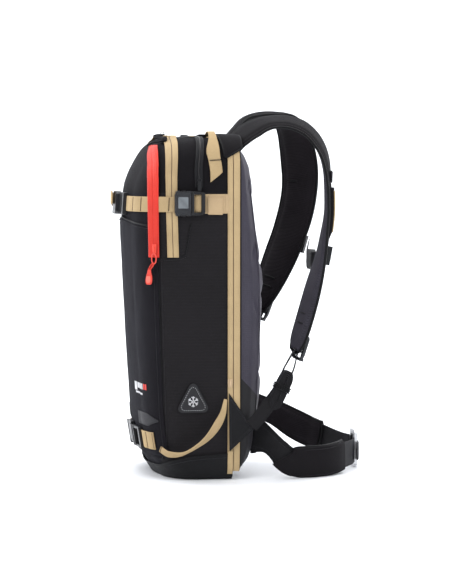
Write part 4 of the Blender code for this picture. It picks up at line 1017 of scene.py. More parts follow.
outer_tape = hoop("back_zip_outer", 0.0378, 0.0455, 0.0006, 0.0013, M_ZIP_TAN, "pack", 0.0125)
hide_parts("back_zip_outer_tape")
inner_tape = hoop("back_zip_inner", 0.0466, 0.0560, 0.0002, 0.0015, M_ZIP_TAN, "back_door", 0.0125)
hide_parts("back_zip_inner_tape")
for s_, fn_, t_ in ((-1, near, "right"), (1, far, "left")):
    rws = [(fn_(0.0378, h, 0.0028), fn_(0.0455, h, 0.0028), Vector((0, s_, 0))) for h in [0.0085 + 0.0335 * k / 12 for k in range(13)]]
    ride(ribbon(f"back_zip_foot_{t_}", rws, lambda t: 0.0014, M_ZIP_TAN), "pack")
coil = [Vector((0.0460, y, z)) for y, z in hoop_line(0.0009, 0.0125, 90)]
ride(tube("back_zip_coil", coil, 0.0006, M_COIL_BROWN, 8), "pack")
for tag, x in (("a", 0.0390),):
    line = hoop_line(0.0020, 0.014, 80)
    half = len(line) // 2
    pts = [Vector((x, y, z)) for y, z in line]
    runs = [(pts[:80], out_near), (pts[-80:], out_far)]
    ride(stitches("back_zip_stitching_" + tag, runs, M_THREAD_TAN), "pack")
line = [Vector((0.0545, y, z)) for y, z in hoop_line(0.0017, 0.014, 80)]
ride(stitches("back_zip_stitching_b", [(line[:80], out_near), (line[-80:], out_far)], M_THREAD_TAN), "back_door")

# ------------------------------------------------------------------ sliders and pulls
bevelled("tool_slider", M_RED_PULL, 0.0005)
bevelled("top_slider", M_PLASTIC_BLACK, 0.0004)
bevelled("back_slider", M_COIL_TAN, 0.0004)
axis_n = Vector((-0.74, -0.67, 0.0)).normalized()
base = Vector((-0.0708, -0.1312, 0.3300))
ring = [base + Vector((0.0, 0.0, -0.0055)) + Vector((-0.67, 0.74, 0)) * (0.0042 * math.cos(a)) + Vector((0, 0, 1)) * (0.0072 * math.sin(a)) for a in [2 * pi * k / 20 for k in range(20)]]
ride(tube("tool_pull_ring", ring, 0.0010, M_RED_PULL, 8, closed=True), "tool_pull")
c0 = base + Vector((-0.0006, 0.0006, -0.0115))
tip = Vector((-0.0768, -0.1265, 0.3085))
for k, s in enumerate((-1, 1)):
    d = Vector((-0.67, 0.74, 0)) * (0.0014 * s)
    ride(tube(f"tool_pull_cord_{k}", [c0 + d * 0.6, c0.lerp(tip, 0.4) + d * 1.5, tip + d], 0.0011, M_RED_CORD, 8, n=9), "tool_pull")
PX = Vector((0.67, -0.74, 0.0)).normalized()
PZ = (Vector((-0.0775, -0.1262, 0.2885)) - tip).normalized()
PN = PX.cross(PZ).normalized()
PM = Matrix((PX, PZ, PN)).transposed().to_4x4()
PM.translation = tip
out = [(-0.0022, 0.000), (0.0022, 0.000), (0.0030, 0.004), (0.0048, 0.009), (0.0056, 0.015), (0.0050, 0.0195), (0.0030, 0.0215),
       (-0.0030, 0.0215), (-0.0050, 0.0195), (-0.0056, 0.015), (-0.0048, 0.009), (-0.0030, 0.004)]
pull = merged("tool_pull_paddle", [prism_data(out, -0.0014, 0.0014, PM),
                                   prism_data([(x * 0.72, 0.0105 + (y - 0.0105) * 0.78) for x, y in out if y > 0.008], -0.0019, 0.0019, PM, 1)],
              [M_RED_PULL, M_RED_PALE], bevel=0.0007, segs=3)
ride(pull, "tool_pull")
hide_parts("tool_pull")
kp = Vector((-0.0048, -0.1380, 0.4400))
ring = [kp + Vector((0.0026 * math.cos(a), 0, -0.0022 + 0.0036 * math.sin(a))) for a in [2 * pi * k / 16 for k in range(16)]]
tp = tube("top_pull_ring", ring, 0.0007, M_PLASTIC_BLACK, 6, closed=True)
ride(tp, "top_pull")
tp2 = merged("top_pull_tab", [prism_data([(kp.x + x, kp.z - 0.0045 + z) for x, z in ((-0.0022, 0), (0.0022, 0), (0.0030, -0.004), (0.0028, -0.0115), (0.0018, -0.013), (-0.0018, -0.013), (-0.0028, -0.0115), (-0.0030, -0.004))],
                                         0.1368, 0.1386, Matrix(((1, 0, 0, 0), (0, 0, -1, 0), (0, 1, 0, 0), (0, 0, 0, 1))))], M_PLASTIC_BLACK, bevel=0.0005)
ride(tp2, "top_pull")
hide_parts("top_pull")


# ------------------------------------------------------------------ webbing on the bag
def bar_tack(name, a, b, normal, mat=M_THREAD_BROWN, body="pack", gauge=0.0011, passes=9):
    """Dense zigzag of thread between two points."""
    t = (b - a)
    L = t.length
    t = t.normalized()
    s = t.cross(normal).normalized()
    n = max(int(L / 0.00075), 6)
    pts = []
    for k in range(n + 1):
        pts.append(a + t * (L * k / n) + s * (gauge / 2 if k % 2 else -gauge / 2) + normal * 0.0002)
    return ride(tube(name, pts, 0.00052, mat, 4), body)


def band_q(name, marks, h0, h1, off, thick, mat, body="pack", slot=None, puff=None):
    """Webbing at constant height: marks are (fn, a) stations; rows run along the band."""
    rows4 = []
    for i, (fn, a) in enumerate(marks):
        up = puff(i, len(marks)) if puff else 0.0
        p0, p1 = fn(a, h0, off + up), fn(a, h1, off + up)
        nn = (fn(a, (h0 + h1) / 2, off + 0.003) - fn(a, (h0 + h1) / 2, off))
        nn.z = 0
        rows4.append((p0, p1, nn.normalized()))
    return ride(ribbon(name, rows4, lambda t: thick, mat), body)


UZ0, UZ1 = 0.3920, 0.4142
m_near = [(near, -0.0385 - 0.0005 * k) for k in range(0, 12)] + [(Q, 0.01 + 1.33 * k / 68) for k in range(69)]
fixed = [0.10, 0.62, 0.80, 1.12]


def daisy_puff(q):
    for a, b in ((0.585, 0.81), (0.81, 1.14)):
        if a < q < b:
            return 0.0016 * math.sin(pi * (q - a) / (b - a)) ** 0.7
    return 0.0


m_q = [m for m in m_near]
rows5 = []
for fn, a in m_q:
    up = daisy_puff(a) if fn is Q else 0.0
    p0, p1 = fn(a, UZ0, 0.0028 + up), fn(a, UZ1, 0.0028 + up)
    nn = fn(a, 0.40, 0.006) - fn(a, 0.40, 0.003)
    nn.z = 0
    rows5.append((p0, p1, nn.normalized()))
us = ride(ribbon("upper_strap_near", rows5, lambda t: 0.0014, M_TAN), "pack")
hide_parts("upper_strap_right")
rows5 = []
for fn, a in m_q:
    up = daisy_puff(a) if fn is Q else 0.0
    f2, a2 = (far, a) if fn is near else (Q, 3 - a)
    p0, p1 = f2(a2, UZ0, 0.0028 + up), f2(a2, UZ1, 0.0028 + up)
    nn = f2(a2, 0.40, 0.006) - f2(a2, 0.40, 0.003)
    nn.z = 0
    rows5.append((p0, p1, nn.normalized()))
us = ride(ribbon("upper_strap_far", rows5, lambda t: 0.0014, M_TAN), "pack")
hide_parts("upper_strap_left")
for i, q in enumerate((0.05, 0.585, 0.81)):
    for tag, qq in (("near", q), ("far", 3 - q)):
        a, b = Q(qq, UZ0 + 0.0015, 0.0043), Q(qq, UZ1 - 0.0015, 0.0043)
        nn = (Q(qq, 0.40, 0.006) - Q(qq, 0.40, 0.003)).normalized()
        bar_tack(f"upper_tack_{tag}_{i}", a, b, nn)

LZ0, LZ1 = 0.0435, 0.0690
for tag, mirror in (("near", False), ("far", True)):
    rows6 = []
    for k in range(31):
        q = 0.58 + 0.58 * k / 30
        up = 0.0016 * abs(math.sin(pi * (q - 0.58) / 0.19)) ** 0.8 if q < 0.96 else 0.0
        qq = 3 - q if mirror else q
        p0, p1 = Q(qq, LZ0, 0.0036 + up), Q(qq, LZ1, 0.0036 + up)
        nn = Q(qq, 0.056, 0.008) - Q(qq, 0.056, 0.004)
        nn.z = 0
        rows6.append((p0, p1, nn.normalized()))
    o = ride(ribbon(f"lower_strap_{tag}", rows6, lambda t: 0.0014, M_TAN), "pack")
    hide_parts("lower_strap_left" if mirror else "lower_strap_right")
    for i, q in enumerate((0.60, 0.77, 0.96)):
        qq = 3 - q if mirror else q
        nn = (Q(qq, 0.056, 0.008) - Q(qq, 0.056, 0.004)).normalized()
        bar_tack(f"lower_tack_{tag}_{i}", Q(qq, LZ0 + 0.0015, 0.0052), Q(qq, LZ1 - 0.0015, 0.0052), nn)

for side, fn, tag, outf in ((-1, near, "right", out_near), (1, far, "left", out_far)):
    # rear end of the compression webbing
    rows7 = [(fn(x, 0.3895, 0.0007), fn(x, 0.4177, 0.0007), Vector((0, side, 0))) for x in [-0.0150 + 0.0555 * k / 14 for k in range(15)]]
    o = ride(ribbon(f"rear_web_{tag}", rows7, lambda t: 0.0013, M_TAN_PALE), "pack")
    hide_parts(f"rear_strap_{tag}")
    runs = []
    for x in (0.0060, 0.0345):
        runs.append(([fn(x, 0.3915 + 0.0245 * k / 6, 0.0022) for k in range(7)], outf))
    for h in (0.3915, 0.4158):
        runs.append(([fn(0.0060 + 0.0285 * k / 6, h, 0.0022) for k in range(7)], outf))
    runs.append(([fn(0.0060 + 0.0285 * k / 8, 0.3915 + 0.0243 * k / 8, 0.0022) for k in range(9)], outf))
    ride(stitches(f"rear_web_stitching_{tag}", runs, M_THREAD_TAN, pitch=0.0026, length=0.0018), "pack")
    bar_tack(f"rear_tack_{tag}", fn(0.0040, 0.3915, 0.0021), fn(0.0040, 0.4158, 0.0021), Vector((0, side, 0)))
    # webbing that runs through the ladder of the buckle
    rows8 = [(fn(x, 0.3925, 0.0036 + u), fn(x, 0.4160, 0.0036 + u), Vector((0, side, 0))) for x, u in ((-0.0135, 0.0), (-0.0100, 0.0008), (-0.0060, 0.0022), (-0.0020, 0.0030), (0.0010, 0.0026))]
    ride(ribbon(f"ladder_web_{tag}", rows8, lambda t: 0.0013, M_TAN), f"side_plug_{tag}")
    # second layer of the rear webbing, folded over and sewn, with a raw lower edge
    rows8 = [(fn(x, 0.3882 - (x - 0.008) * 0.02, 0.0022), fn(x, 0.4125, 0.0022), Vector((0, side, 0))) for x in [0.0085 + 0.0215 * k / 10 for k in range(11)]]
    ride(ribbon(f"rear_web_fold_{tag}", rows8, lambda t: 0.0013, M_TAN_PALE), "pack")

    # reinforcement tab under the lower webbing
    tab_rows = []
    for k in range(25):
        t = k / 24
        q = 0.45 + 0.66 * t
        qq = q if side < 0 else 3 - q
        hh_ = 0.0010 + 0.0085 * min(1.0, 2.4 * t)
        tab_rows.append((Q(qq, 0.0866 - hh_, 0.0020), Q(qq, 0.0866 + hh_, 0.0020), (Q(qq, 0.08, 0.006) - Q(qq, 0.08, 0.003)).normalized()))
    ride(ribbon(f"lower_tab_{tag}", tab_rows, lambda t: 0.0010, M_TAB), "pack")

    # ski loop: a flat tape that twists as it leaves the base and rises to the back
    pts = [(-0.0590, 0.0, 0.0455), (-0.0495, 0.010, 0.0405), (-0.0312, 0.016, 0.0430), (-0.0115, 0.018, 0.0535),
           (0.0056, 0.015, 0.0665), (0.0186, 0.011, 0.0820), (0.0285, 0.005, 0.0985), (0.0335, 0.0, 0.1190)]
    path = [tuple(side_xy(side, x, z, 0.0060 + st, inset_at(z) - 0.0060 - st)) for x, st, z in pts]
    wd = [(0.25, 0.0, 1), (0.2, 0.75 * side, 1), (0.1, 1.2 * side, 0.62), (-0.15, 1.1 * side, 0.62), (-0.50, 0.85 * side, 0.60),
          (-0.75, 0.55 * side, 0.50), (-0.9, 0.25 * side, 0.28), (-0.98, 0.05 * side, 0.10)]
    wid = [0.0085, 0.0095, 0.0120, 0.0140, 0.0155, 0.0150, 0.0095, 0.0045]
    P, W, WI = catmull(path, 60, wd, [(w, 0, 0) for w in wid])
    rows9 = []
    for (p, t, w, nn), wi in zip(frames_of(P, W), WI):
        if nn.y * side < 0:
            nn = -nn
        rows9.append((p - w * wi.x / 2, p + w * wi.x / 2, nn))
    o = ride(ribbon(f"ski_loop_web_{tag}", rows9, lambda t: 0.0015, M_TAN), "pack")
    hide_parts(f"ski_loop_{tag}")
    bar_tack(f"ski_loop_tack_{tag}", rows9[1][0] + rows9[1][2] * 0.0016, rows9[1][1] + rows9[1][2] * 0.0016, rows9[1][2])


# ------------------------------------------------------------------ side-release buckles
def side_buckle(side, tag):
    rot = Matrix.Rotation(math.radians(90), 4, "X") if side < 0 else Matrix.Rotation(math.radians(-90), 4, "X")
    B = Matrix.Translation((-0.0288, side * (HALF_W + 0.0031), 0.4043)) @ rot
    # body with stepped ears at both ends and a waist where the prong tips show
    half = [(-0.0122, 0.0), (-0.0122, 0.0128), (-0.0108, 0.0152), (-0.0108, 0.0168), (-0.0092, 0.0183), (-0.0046, 0.0183), (-0.0030, 0.0166),
            (0.0050, 0.0166), (0.0064, 0.0181), (0.0108, 0.0181), (0.0122, 0.0166), (0.0122, 0.0)]
    prof = half[:-1] + [(0.0122, 0.0)] + [(x, -y) for x, y in half[1:-1]][::-1]
    prof = prof[::-1]
    top = [(x * 0.86, y * 0.86) for x, y in prof]
    parts = [prism_data(prof, 0.0, 0.0066, B, 0),
             prism_data(top, 0.0060, 0.0080, B, 0),
             prism_data(rounded_rect(0.0172, 0.0188, 0.0020), 0.0076, 0.0088, B @ Matrix.Translation((-0.0004, 0.0012 * (1 if side < 0 else -1), 0)), 0),
             prism_data(rounded_rect(0.0150, 0.0166, 0.0016), 0.0080, 0.0092, B @ Matrix.Translation((-0.0004, 0.0012 * (1 if side < 0 else -1), 0)), 1)]
    for s in (-1, 1):
        parts.append(prism_data(rounded_rect(0.0074, 0.0036, 0.0010), 0.0012, 0.0062, B @ Matrix.Translation((0.0010, s * 0.0168, 0)), 2))
        parts.append(prism_data(rounded_rect(0.0030, 0.0100, 0.0010), 0.0070, 0.0086, B @ Matrix.Translation((0.0098, s * 0.0060, 0)), 0))
    o = merged(f"side_buckle_body_{tag}", parts, [M_PLASTIC, M_INSET, M_PLASTIC_BLACK], bevel=0.0007, segs=3)
    ride(o, "pack")
    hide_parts(f"side_buckle_socket_{tag}")
    rail = []
    for s in (-1, 1):
        rail.append(prism_data([(0.0124, s * 0.0176), (0.0250, s * 0.0172), (0.0296, s * 0.0158), (0.0312, s * 0.0130), (0.0124, s * 0.0130)][::s], 0.0014, 0.0062, B, 0))
    rail.append(prism_data(rounded_rect(0.0036, 0.0330, 0.0012), 0.0012, 0.0078, B @ Matrix.Translation((0.0142, 0, 0)), 0))
    rail.append(prism_data(rounded_rect(0.0054, 0.0318, 0.0022), 0.0010, 0.0086, B @ Matrix.Translation((0.0290, 0, 0)), 0))
    p = merged(f"side_buckle_ladder_{tag}", rail, [M_PLASTIC_BLACK], bevel=0.0007, segs=3)
    ride(p, f"side_plug_{tag}")
    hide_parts(f"side_buckle_plug_{tag}")


side_buckle(-1, "right")
side_buckle(1, "left")
for n_ in ("front_buckle_socket_upper", "front_buckle_plug_upper"):
    bevelled(n_, M_PLASTIC_BLACK, 0.0007)


def q_blocks(name, spans, mat, body, replaces, bevel=0.0008):
    """Moulded blocks that follow the curve of the front: spans are (q0, q1, h0, h1, off0, off1)."""
    parts = []
    for qa, qb, ha, hb, oa, ob_ in spans:
        v, m_ = [], 6
        for o_ in (oa, ob_):
            for k in range(m_):
                q = qa + (qb - qa) * k / (m_ - 1)
                v += [Q(q, ha, o_), Q(q, hb, o_)]
        f, B_ = [], 2 * m_
        for k in range(m_ - 1):
            a = 2 * k
            f += [(a, a + 1, a + 3, a + 2), (B_ + a, B_ + a + 2, B_ + a + 3, B_ + a + 1), (a, a + 2, B_ + a + 2, B_ + a), (a + 1, B_ + a + 1, B_ + a + 3, a + 3)]
        f += [(0, B_, B_ + 1, 1), (2 * m_ - 2, 2 * m_ - 1, B_ + 2 * m_ - 1, B_ + 2 * m_ - 2)]
        parts.append((v, f, 0))
    o = merged(name, parts, [mat], bevel=bevel, segs=3)
    ride(o, body)
    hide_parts(replaces)


q_blocks("front_buckle_body_lower", [(1.388, 1.60, 0.0445, 0.0760, 0.0028, 0.0085), (1.41, 1.58, 0.0475, 0.0730, 0.0080, 0.0092)], M_PLASTIC_BLACK, "pack", "front_buckle_socket_lower")
q_blocks("front_buckle_prongs_lower", [(1.606, 1.650, 0.0460, 0.0745, 0.0044, 0.0080), (1.650, 1.720, 0.0460, 0.0490, 0.0044, 0.0078), (1.650, 1.720, 0.0715, 0.0745, 0.0044, 0.0078),
                                       (1.700, 1.735, 0.0460, 0.0745, 0.0044, 0.0084)], M_PLASTIC_BLACK, "front_plug_lower", "front_buckle_plug_lower")

# slotted frames that carry the side webbing into the front buckles
for tag, h0, h1, q0 in (("upper", 0.3868, 0.4190, 1.16), ("lower", 0.0410, 0.0722, 1.00)):
    for side in (0, 1):
        parts = []
        spans = [(q0, 1.375, h0, h0 + 0.0036, 0.0030, 0.0088), (q0, 1.375, h1 - 0.0036, h1, 0.0030, 0.0088),
                 (q0 - 0.03, q0 + 0.035, h0, h1, 0.0030, 0.0098), (1.24, 1.275, h0, h1, 0.0048, 0.0098), (1.335, 1.385, h0, h1, 0.0030, 0.0098)]
        for qa, qb, ha, hb, oa, ob_ in spans:
            v, m_ = [], 7
            for o_ in (oa, ob_):
                for k in range(m_):
                    q = qa + (qb - qa) * k / (m_ - 1)
                    q = 3 - q if side else q
                    v += [Q(q, ha, o_), Q(q, hb, o_)]
            f, B_ = [], 2 * m_
            for k in range(m_ - 1):
                a = 2 * k
                f += [(a, a + 1, a + 3, a + 2), (B_ + a, B_ + a + 2, B_ + a + 3, B_ + a + 1), (a, a + 2, B_ + a + 2, B_ + a), (a + 1, B_ + a + 1, B_ + a + 3, a + 3)]
            f += [(0, B_, B_ + 1, 1), (2 * m_ - 2, 2 * m_ - 1, B_ + 2 * m_ - 1, B_ + 2 * m_ - 2)]
            parts.append((v, f, 0))
        ride(merged(f"front_frame_{tag}_{side}", parts, [M_PLASTIC_BLACK], bevel=0.0008, segs=2), "pack")

# tan tails and loops at the front buckles
for tag, zc, off in (("upper", 0.4030, 0.0030), ("lower", 0.0610, 0.0036)):
    fx = curve_at(FRONT, zc) - off
    body = f"front_plug_{tag}"
    up = 0.008
    if tag == "lower":
        ride(ribbon("front_tail_lower", [(Q(q, 0.0500, 0.0034), Q(q, 0.0710, 0.0034), Vector((-1, 0, 0))) for q in (1.68, 1.74, 1.80, 1.86)], lambda t: 0.0012, M_TAN), body)
        continue
    pts = [(fx - 0.0030, 0.044, zc), (fx - 0.0070, 0.034, zc + up * 0.3), (fx - 0.0125, 0.022, zc + up), (fx - 0.0142, 0.008, zc + up), (fx - 0.0138, -0.004, zc + up)]
    P, W = catmull(pts, 22, [(0, 0, 1)] * 5)
    rws = []
    for p, t, w, nn in frames_of(P, W):
        if nn.x > 0:
            nn = -nn
        rws.append((p - w * 0.0095, p + w * 0.0095, nn))
    ride(ribbon(f"front_tail_{tag}", rws, lambda t: 0.0012, M_TAN), body)


# ------------------------------------------------------------------ haul handle
H_ST = [(0.4350, 0.0122, 0.0126, 0.0010), (0.4400, 0.0121, 0.0190, 0.0012), (0.4460, 0.0120, 0.0265, 0.0014), (0.4495, 0.0119, 0.0300, 0.0014),
        (0.4560, 0.0112, 0.0294, 0.0014), (0.4640, 0.0098, 0.0282, 0.0014), (0.4700, 0.0086, 0.0270, 0.0018), (0.4765, 0.0068, 0.0264, 0.0026),
        (0.4830, 0.0074, 0.0262, 0.0034), (0.4900, 0.0098, 0.0255, 0.0044), (0.4980, 0.0122, 0.0248, 0.0056), (0.5060, 0.0134, 0.0243, 0.0078),
        (0.5140, 0.0138, 0.0240, 0.0090), (0.5235, 0.0138, 0.0238, 0.0078)]
leg = []
for h, x0, x1, lift in H_ST:
    leg.append((h, x0, x1, lift))
hr = []
for h, x0, x1, lift in leg:
    a, b = near(x0, h, lift), near(x1, h, lift)
    nn = (near((x0 + x1) / 2, h, lift + 0.002) - near((x0 + x1) / 2, h, lift)).normalized()
    hr.append((a, b, nn))
ya = abs(hr[-1][0].y)
for k in range(1, 20):
    y = -ya + 2 * ya * k / 20
    z = 0.5018 + (hr[13][0].z - 0.5018 if y < 0 else 0.0004) * math.exp(-((ya - abs(y)) / 0.011) ** 2)
    hr.append((Vector((0.0138, y, z)), Vector((0.0238, y, z)), Vector((0, 0, 1))))
for h, x0, x1, lift in reversed(leg):
    lift = min(lift, 0.0022)
    a, b = far(x0, h, lift), far(x1, h, lift)
    nn = (far((x0 + x1) / 2, h, lift + 0.002) - far((x0 + x1) / 2, h, lift)).normalized()
    hr.append((a, b, nn))


def handle_thick(t):
    k = abs(2 * t - 1)
    grip = min(1.0, max(0.0, (k - 0.50) / 0.08)) * (1 - min(1.0, max(0.0, (k - 0.66) / 0.12)))
    return 0.0015 + 0.0014 * grip


P_rows = []
for i in range(len(hr) - 1):
    for k in range(3):
        s = k / 3
        P_rows.append(tuple(u.lerp(v, s) for u, v in zip(hr[i], hr[i + 1])))
P_rows.append(hr[-1])
hh = ride(ribbon("haul_handle_web", P_rows, handle_thick, M_TAN), "pack")
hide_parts("haul_handle")
for side, fn, tag in ((-1, near, "right"), (1, far, "left")):
    bar_tack(f"handle_tack_{tag}", fn(0.0108, 0.4655, 0.0034), fn(0.0272, 0.4665, 0.0034), Vector((0, side * 0.98, 0.2)), M_THREAD_DARK, gauge=0.0016)
    fold = [fn(0.0185, h, 0.0036 + lf) for h, lf in ((0.4790, 0.0010), (0.4860, 0.0022), (0.4930, 0.0030))]

# the top panel's fabric stands up in a soft fold beside the handle
fold_rows = []
for k in range(33):
    t = k / 32
    y = -0.083 + 0.166 * t
    z = 0.4996 + 0.0012 * (abs(2 * t - 1) ** 4)
    fold_rows.append((Vector((0.0015, y, z - 0.0006)), Vector((0.0128, y, z - 0.0006)), Vector((0, 0, 1))))
ride(ribbon("top_fold", fold_rows, lambda t: 0.0046 * (0.55 + 0.45 * abs(2 * t - 1) ** 2) + 0.0003 * math.sin(40 * t), M_TOP), "pack")

# ------------------------------------------------------------------ badge and print
tri_c = [(-0.0285, 0.1065), (0.0018, 0.1065), (-0.0134, 0.1352)]
out = []
for (cx, cz), a0 in zip(tri_c, (210, 330, 90)):
    for k in range(-5, 6):
        a = math.radians(a0 + k * 11)
        out.append((cx + 0.0068 * math.cos(a), cz + 0.0068 * math.sin(a)))
MB = Matrix(((1, 0, 0, 0), (0, 0, -1, -HALF_W), (0, 1, 0, 0), (0, 0, 0, 1)))
cen = (-0.0134, 0.1160)
parts = [prism_data(out, 0.0002, 0.0016, MB, 0)]
rim_in = [(cen[0] + (x - cen[0]) * 0.93, cen[1] + (y - cen[1]) * 0.93) for x, y in out]
n = len(out)
for i in range(n):
    a, b = out[i], out[(i + 1) % n]
    c, d = rim_in[(i + 1) % n], rim_in[i]
    parts.append(prism_data([a, b, c, d], 0.0014, 0.0021, MB, 0))
dots = []
ring = [(cen[0] + (x - cen[0]) * 0.80, cen[1] + (y - cen[1]) * 0.80) for x, y in out]
L = [0.0]
for i in range(n):
    a, b = ring[i], ring[(i + 1) % n]
    L.append(L[-1] + math.hypot(b[0] - a[0], b[1] - a[1]))
for k in range(34):
    want = L[-1] * k / 34
    i = max(j for j in range(n) if L[j] <= want)
    f = (want - L[i]) / max(L[i + 1] - L[i], 1e-9)
    a, b = ring[i], ring[(i + 1) % n]
    c = (a[0] + (b[0] - a[0]) * f, a[1] + (b[1] - a[1]) * f)
    parts.append(prism_data([(c[0] + 0.00048 * math.cos(t), c[1] + 0.00048 * math.sin(t)) for t in [2 * pi * m / 8 for m in range(8)]], 0.0015, 0.0019, MB, 1))
for k in range(6):
    A = Matrix.Translation((cen[0], cen[1] - 0.0002, 0)) @ Matrix.Rotation(math.radians(60 * k + 30), 4, "Z")
    parts.append(prism_data([(0.0008, -0.0006), (0.0078, -0.0006), (0.0078, 0.0006), (0.0008, 0.0006)], 0.0015, 0.0020, MB @ A, 1))
    for s in (-1, 1):
        Bm = A @ Matrix.Translation((0.0048, 0, 0)) @ Matrix.Rotation(math.radians(50 * s), 4, "Z")
        parts.append(prism_data([(0.0, -0.0005), (0.0032, -0.0005), (0.0032, 0.0005), (0.0, 0.0005)], 0.0015, 0.0020, MB @ Bm, 1))
badge = merged("side_badge_patch", parts, [M_RUBBER, M_WHITE])
ride(badge, "pack")
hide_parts("side_badge")
# plain printed bars on the front corner
bars = []
for q0, q1, h0, h1, k in ((1.20, 1.10, 0.1265, 0.1390, 0), (1.07, 0.99, 0.1305, 0.1385, 0), (0.96, 0.90, 0.1300, 0.1385, 0), (0.875, 0.825, 0.1300, 0.1385, 0), (0.79, 0.755, 0.1300, 0.1385, 1),
                          (0.735, 0.695, 0.1300, 0.1385, 1), (1.16, 0.97, 0.1225, 0.1252, 0), (0.955, 0.85, 0.1215, 0.1242, 0)):
    v = []
    for o_ in (0.0016, 0.0021):
        for q, h in ((q0, h0), ((q0 + q1) / 2, h0), (q1, h0), (q1, h1), ((q0 + q1) / 2, h1), (q0, h1)):
            v.append(Q(q, h, o_))
    f = [(5, 4, 3, 2, 1, 0), (6, 7, 8, 9, 10, 11)] + [(i, (i + 1) % 6, 6 + (i + 1) % 6, 6 + i) for i in range(6)]
    bars.append((v, f, k))
ride(merged("printed_bars", bars, [M_WHITE, M_PRINT_RED]), "pack")


# ------------------------------------------------------------------ back panel
def panel_outline(z):
    """Half width of the back panel at a height."""
    w = half_w(z) - inset_at(min(z, 0.4999)) - 0.0030
    if z > 0.4560:
        t = min((z - 0.4560) / 0.0400, 1.0)
        w = HALF_W - 0.0030 - ROUND_Y * (1 - math.sqrt(max(0.0, 1 - t * t)))
    if z < 0.026:
        w -= 0.012 * (1 - math.sqrt(max(0.0, 1 - ((0.026 - z) / 0.0145) ** 2))) if z > 0.0115 else 0.012
    return w


def ramp1(x, a, b):
    return min(1.0, max(0.0, (x - a) / (b - a)))


def panel_depth(inset):
    for a, b, u, v in ((0.0, 0.0035, 0.30, 0.56), (0.0035, 0.018, 0.56, 0.85), (0.018, 0.036, 0.85, 0.985), (0.036, 0.06, 0.985, 1.0)):
        if inset <= b:
            return u + (v - u) * ramp1(inset, a, b)
    return 1.0


PZ0, PZ1 = 0.0120, 0.4955
NY, NZ = 104, 176


def crease(z, y):
    """Signed distances that make the panel's folded facets."""
    ay = abs(y)
    d = 0.0
    for z0, k in ((0.3300, -0.62), (0.2600, 0.55), (0.1450, 0.50), (0.4180, -0.45)):
        zz = z0 + k * (0.110 - ay)
        w = math.exp(-(abs(z - zz) / 0.0060) ** 1.4)
        d = max(d, w * ramp1(ay, 0.030, 0.050) * (1 - 0.75 * ramp1(ay, 0.088, 0.104)))
    return d


def groove(z, y):
    """Depth of the moulded channels at a point of the back panel."""
    spine = 1 - ramp1(abs(y), 0.016, 0.029)
    d = 0.0100 * spine * ramp1(z, 0.03, 0.06) * (1 - ramp1(z, 0.44, 0.475))
    return max(d, 0.0040 * crease(z, y))


rows = []
for i in range(NZ + 1):
    t = i / NZ
    z = PZ0 + (PZ1 - PZ0) * t
    W_ = panel_outline(z)
    row = []
    for j in range(NY + 1):
        s = -1 + 2 * j / NY
        s = math.copysign(abs(s) ** 0.86, s)
        y = s * W_
        inset = min(W_ - abs(y), (z - PZ0) * 1.1, (PZ1 - z) * 0.95)
        dep = panel_depth(max(inset, 0.0))
        xb = curve_at(PANEL, z)
        x = 0.0468 + (xb - 0.0468) * dep - groove(z, y) * ramp1(inset, 0.004, 0.02)
        cut_ = 0.0
        for z0_, x0_, k_ in ((0.3150, 0.0725, 3.0), (0.2650, 0.0755, -2.3), (0.4150, 0.0650, 2.6)):
            d_ = abs(z - z0_ - k_ * (x - x0_)) / math.sqrt(1 + k_ * k_)
            cut_ = max(cut_, math.exp(-(d_ / 0.0030) ** 1.4))
        cut_ *= ramp1(x, 0.062, 0.070) * (1 - ramp1(x, 0.0835, 0.0905)) * ramp1(abs(y), 0.080, 0.088)
        row_in = 0.0036 * cut_ + 0.0014 * ramp1(abs(y), 0.085, 0.095) * math.sin((z - 0.075) * 2 * pi / 0.19)
        y -= math.copysign(max(row_in, -0.0012), y) * ramp1(W_ - abs(y), 0.002, 0.010)
        x += 0.0005 * noise.noise(Vector((y * 30, z * 30, 2.0))) + 0.0018 * math.sin((z - 0.10) * 2 * pi / 0.155) * ramp1(abs(y), 0.04, 0.06) * (1 - ramp1(abs(y), 0.09, 0.115))
        row.append(Vector((x, y, z)))
    rows.append(row)
verts = [p for r in rows for p in r]
n = NY + 1
faces = [(i * n + j, i * n + j + 1, (i + 1) * n + j + 1, (i + 1) * n + j) for i in range(NZ) for j in range(NY)]
# skirt down to the tape and a flat back
border = [j for j in range(n)] + [i * n + NY for i in range(1, NZ + 1)] + [NZ * n + j for j in range(NY - 1, -1, -1)] + [i * n for i in range(NZ - 1, 0, -1)]
b0 = len(verts)
for b in border:
    p = verts[b]
    verts.append(Vector((0.0475, p.y, p.z)))
m = len(border)
for k in range(m):
    faces.append((border[k], border[(k + 1) % m], b0 + (k + 1) % m, b0 + k))
faces.append(tuple(b0 + k for k in range(m)))
pad = new_object("back_pad", verts, faces, M_FOAM, sharp=None)


